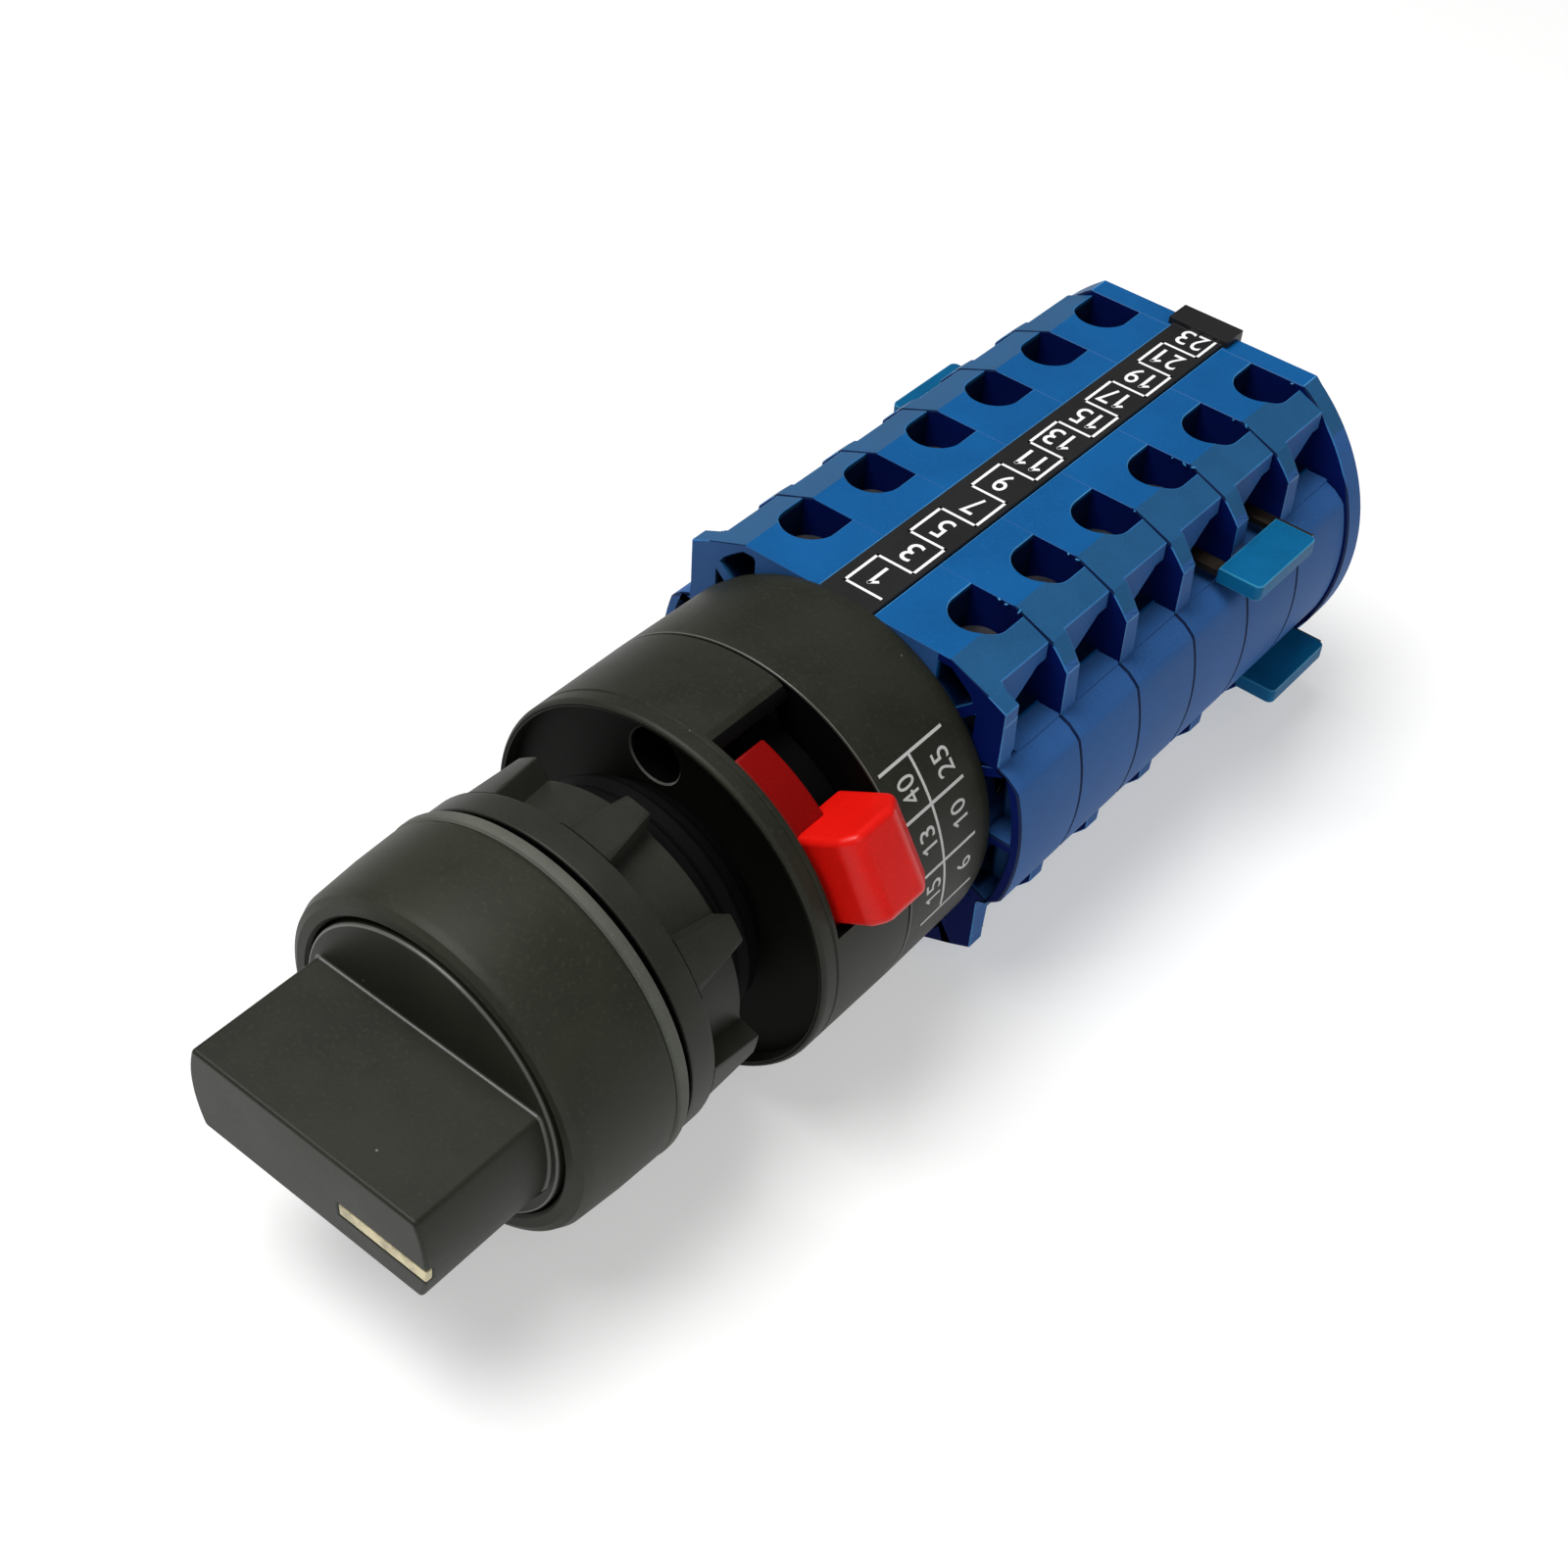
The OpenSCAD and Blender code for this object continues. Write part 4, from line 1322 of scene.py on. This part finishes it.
    def burrs(self) -> None:
        """Leave small bright burrs of plastic at the seam side of the right-hand wells."""
        piece = Workpiece("seam_burrs", FINISH.burr)
        for index in range(1, self.stages + 1):
            seam = FORM.front_y + index * FORM.pitch
            for count in range(1 + (index * 2) % 3):
                turn = 1.7 * index + 2.1 * count
                spot = Vector((10.4 - 0.85 * count + 0.25 * math.sin(turn), seam - 0.12 + 0.08 * math.cos(turn),
                               FORM.flat_z - 0.1))
                chip = bmesh.ops.create_icosphere(piece.bm, subdivisions=1, radius=1.0)["verts"]
                size = (0.26 + 0.12 * math.sin(turn), 0.1, 0.09 + 0.03 * math.cos(2.0 * turn))
                bmesh.ops.scale(piece.bm, vec=size, verts=chip)
                bmesh.ops.rotate(piece.bm, verts=chip, cent=(0, 0, 0), matrix=Matrix.Rotation(turn, 3, "Z"))
                bmesh.ops.translate(piece.bm, verts=chip, vec=spot)
        piece.finish(Body.HOUSING, Slot.BLUE, smooth=10.0)


@dataclass
class NumberStrips:
    """Black numbered strips on the two flats."""

    top_z: float = 15.55
    film: float = 0.015
    left: float = -1.5
    right: float = 2.0
    first_y: float = 36.85
    rear_y: float = 86.0
    cell: float = 4.19
    cells: int = 12
    line: float = 0.26
    face_z: float = 15.4
    height: float = 2.5
    digit: float = 1.45
    middle: float = -0.25

    def build(self) -> None:
        """Build both strips with their numbers."""
        self.strip("label_strip_top", "strip_top", 1)
        self.strip("label_strip_bottom", "strip_bottom", -1)

    def strip(self, node: str, name: str, side: int) -> None:
        """Build one strip.

        Args:
            node: CAD node of the strip.
            name: name of the finished object.
            side: 1 on the +Z flat, -1 on the -Z flat.
        """
        piece = Workpiece.from_node(name, node, FINISH.film)
        piece.soften(0.22, 2, lambda m: m.y > self.rear_y)
        piece.soften(0.06, 1, lambda m: m.y < self.rear_y and abs(m.z) > self.face_z)
        piece.finish(Body.HOUSING, Slot.FILM, [node])
        sheet = PrintSheet(name + "_print", FINISH.ink)
        for k in range(self.cells + 1):
            y = self.first_y + self.cell * k
            sheet.line((-self.right, -y), (-self.left, -y), self.line)
        for k in range(self.cells):
            y = self.first_y + self.cell * k
            edge = -self.left if k % 2 == 0 else -self.right
            sheet.line((edge, -y), (edge, -y - self.cell), self.line)
            value = str(2 * k + (1 if side > 0 else 2))
            sheet.number(value, (self.middle, -y - self.cell / 2.0), self.height, self.digit)

        def on_strip(u: float, v: float, height: float) -> Point:
            """Point on the strip, read toward -X on the upper flat."""
            return (-side * u, -v, side * (self.top_z + self.film * (2.0 * height - 1.0)))

        sheet.lay(on_strip)


@dataclass
class JumperLinks:
    """Jumper links with their moulded grips, which reach out to the given X."""

    reach: tuple[float, ...] = (20.4, 18.2, 20.1)

    def build(self) -> None:
        """Round the grips' outer corners and paint highlights on their rims."""
        grips = Workpiece.from_node("jumper_grip_blocks", "jumper_grips", FINISH.teal, FINISH.teal_edge_highlight)
        heights = [abs(v.co.z) for v in grips.bm.verts]
        low, high = min(heights), max(heights)
        grips.soften(0.6, 4, lambda m: low + 0.05 < abs(m.z) < high - 0.05
                     and any(abs(abs(m.x) - reach) < 0.05 for reach in self.reach), clamp=False)
        # Painted highlight on the grips' upper and lower rims.
        grips.soften(0.12, 2, lambda m: abs(m.z) < low + 0.01 or abs(m.z) > high - 0.01, FINISH.teal_edge_highlight,
                     clamp=False)
        grips.finish(Body.HOUSING, Slot.TEAL, ["jumper_grips"])
        dress(FINISH.link, "jumper_links")


@dataclass
class Mechanism:
    """Pieces that keep their CAD shape: terminals, cams, plungers and screws; and the contact springs."""

    cams: int = 6

    def build(self) -> None:
        """Dress the inner pieces and copy the contact springs in place."""
        dress(FINISH.ivory, *("cam_%d" % i for i in range(1, self.cams + 1)))
        dress(FINISH.ivory, "index_wheel", "detent_sliders", "plungers_right", "plungers_left")
        dress(FINISH.steel, "tie_rods", "tie_nuts", "square_shaft", "detent_rollers", "detent_springs")
        dress(FINISH.screw, "terminal_screws")
        dress(FINISH.plated, "clamp_plates")
        dress(FINISH.brass, "fixed_contacts", "bridges_right", "bridges_left")
        dress(FINISH.silver, "contact_tips_right", "contact_tips_left")
        self.springs(Body.RIGHT, "contact_springs_right", 1.0)
        self.springs(Body.LEFT, "contact_springs_left", -1.0)

    def springs(self, body: Body, node: str, side: float) -> None:
        """Copy the contact springs in place; they are not stretched, and ride on no body.

        Args:
            body: body of the bridges.
            node: CAD node of the springs.
            side: 1 on the +X side, -1 on the -X side.
        """
        low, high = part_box(node)
        near, far = min(abs(low[0]), abs(high[0])), max(abs(low[0]), abs(high[0]))
        piece = Workpiece.from_node(node + "_stretched", node, FINISH.steel)
        piece.finish(Body.HOUSING, Slot.STEEL, [node],
                     stretch=Stretch(body, (side * far, 0.0, 0.0), (side * near, 0.0, 0.0)))


# ---------------------------------------------------------------- studio


@dataclass
class Studio:
    """Pale floor, soft light and the photograph's camera."""

    floor_z: float = -16.62
    floor_half: float = 2.0
    sky: float = 0.17
    key: float = 5.0
    fill: float = 0.6
    glow: float = 0.42
    aim: Point = (0.0, 0.03, 0.0)
    eye: Point = (79.0114, -78.2256, 127.6698)
    right: Point = (0.77221122, 0.63315723, 0.05293163)
    up: Point = (-0.46896032, 0.51177557, 0.71983469)
    back: Point = (0.42867942, -0.58068726, 0.69212446)
    lens: float = 52.7543
    sensor: float = 36.0
    nearest: float = 0.005

    def build(self) -> None:
        """Set up floor, surround, lamps and camera."""
        scene = bpy.context.scene
        scene.view_settings.view_transform = "Standard"
        self.surround(scene)
        self.floor()
        self.lamp("key_light", (-170.0, -100.0, 620.0), 420.0, self.key)
        self.lamp("fill_light", (420.0, -60.0, 360.0), 500.0, self.fill)
        self.camera(scene)

    def surround(self, scene: bpy.types.Scene) -> None:
        """Light the scene evenly from a pale surround.

        Args:
            scene: scene that is lit.
        """
        scene.world = bpy.data.worlds.new("pale_surround")
        graph = Graph(scene.world)
        shade = graph.node("ShaderNodeBackground", {}, {"Color": (1.0, 1.0, 0.985, 1.0), "Strength": self.sky})
        graph.node("ShaderNodeOutputWorld", {}, {"Surface": shade})

    def floor(self) -> None:
        """Lay the plain pale floor."""
        bm = bmesh.new()
        bmesh.ops.create_grid(bm, x_segments=2, y_segments=2, size=self.floor_half)
        bmesh.ops.translate(bm, verts=bm.verts, vec=(0.0, 0.0, self.floor_z / PER_METRE))
        mesh = bpy.data.meshes.new("studio_floor")
        bm.to_mesh(mesh)
        bm.free()
        mesh.materials.append(Paper("floor_paper", (0.6, 0.6, 0.597), self.glow).material())
        put("studio_floor", mesh)

    def lamp(self, name: str, spot: Point, size: float, power: float) -> None:
        """Hang a soft square lamp that faces the switch.

        Args:
            name: name of the lamp.
            spot: place in millimetres.
            size: side of the lamp in millimetres.
            power: power in watts.
        """
        data = bpy.data.lights.new(name, "AREA")
        data.energy = power
        data.size = size / PER_METRE
        place = Vector(spot) / PER_METRE
        turn = (Vector(self.aim) - place).to_track_quat("-Z", "Y").to_matrix().to_4x4()
        put(name, data).matrix_world = Matrix.Translation(place) @ turn

    def camera(self, scene: bpy.types.Scene) -> None:
        """Set the camera at the photograph's viewpoint.

        Args:
            scene: scene that the camera looks at.
        """
        data = bpy.data.cameras.new("photo_camera")
        data.lens = self.lens
        data.sensor_width = self.sensor
        data.clip_start = self.nearest
        scene.camera = put("photo_camera", data)
        turn = Matrix((self.right, self.up, self.back)).transposed().to_4x4()
        scene.camera.matrix_world = Matrix.Translation(Vector(self.eye) / PER_METRE) @ turn


def main() -> None:
    """Build the switch piece by piece, then the studio."""
    logging.basicConfig(level=logging.INFO, format="%(name)s %(message)s")
    for part in (SelectorHead(), FixingNut(), LockAdapter(), IndexHousing(), ContactStack(), NumberStrips(),
                 JumperLinks(), Mechanism(), Studio()):
        LOG.info("building %s", type(part).__name__)
        part.build()


if __name__ == "__main__":
    main()
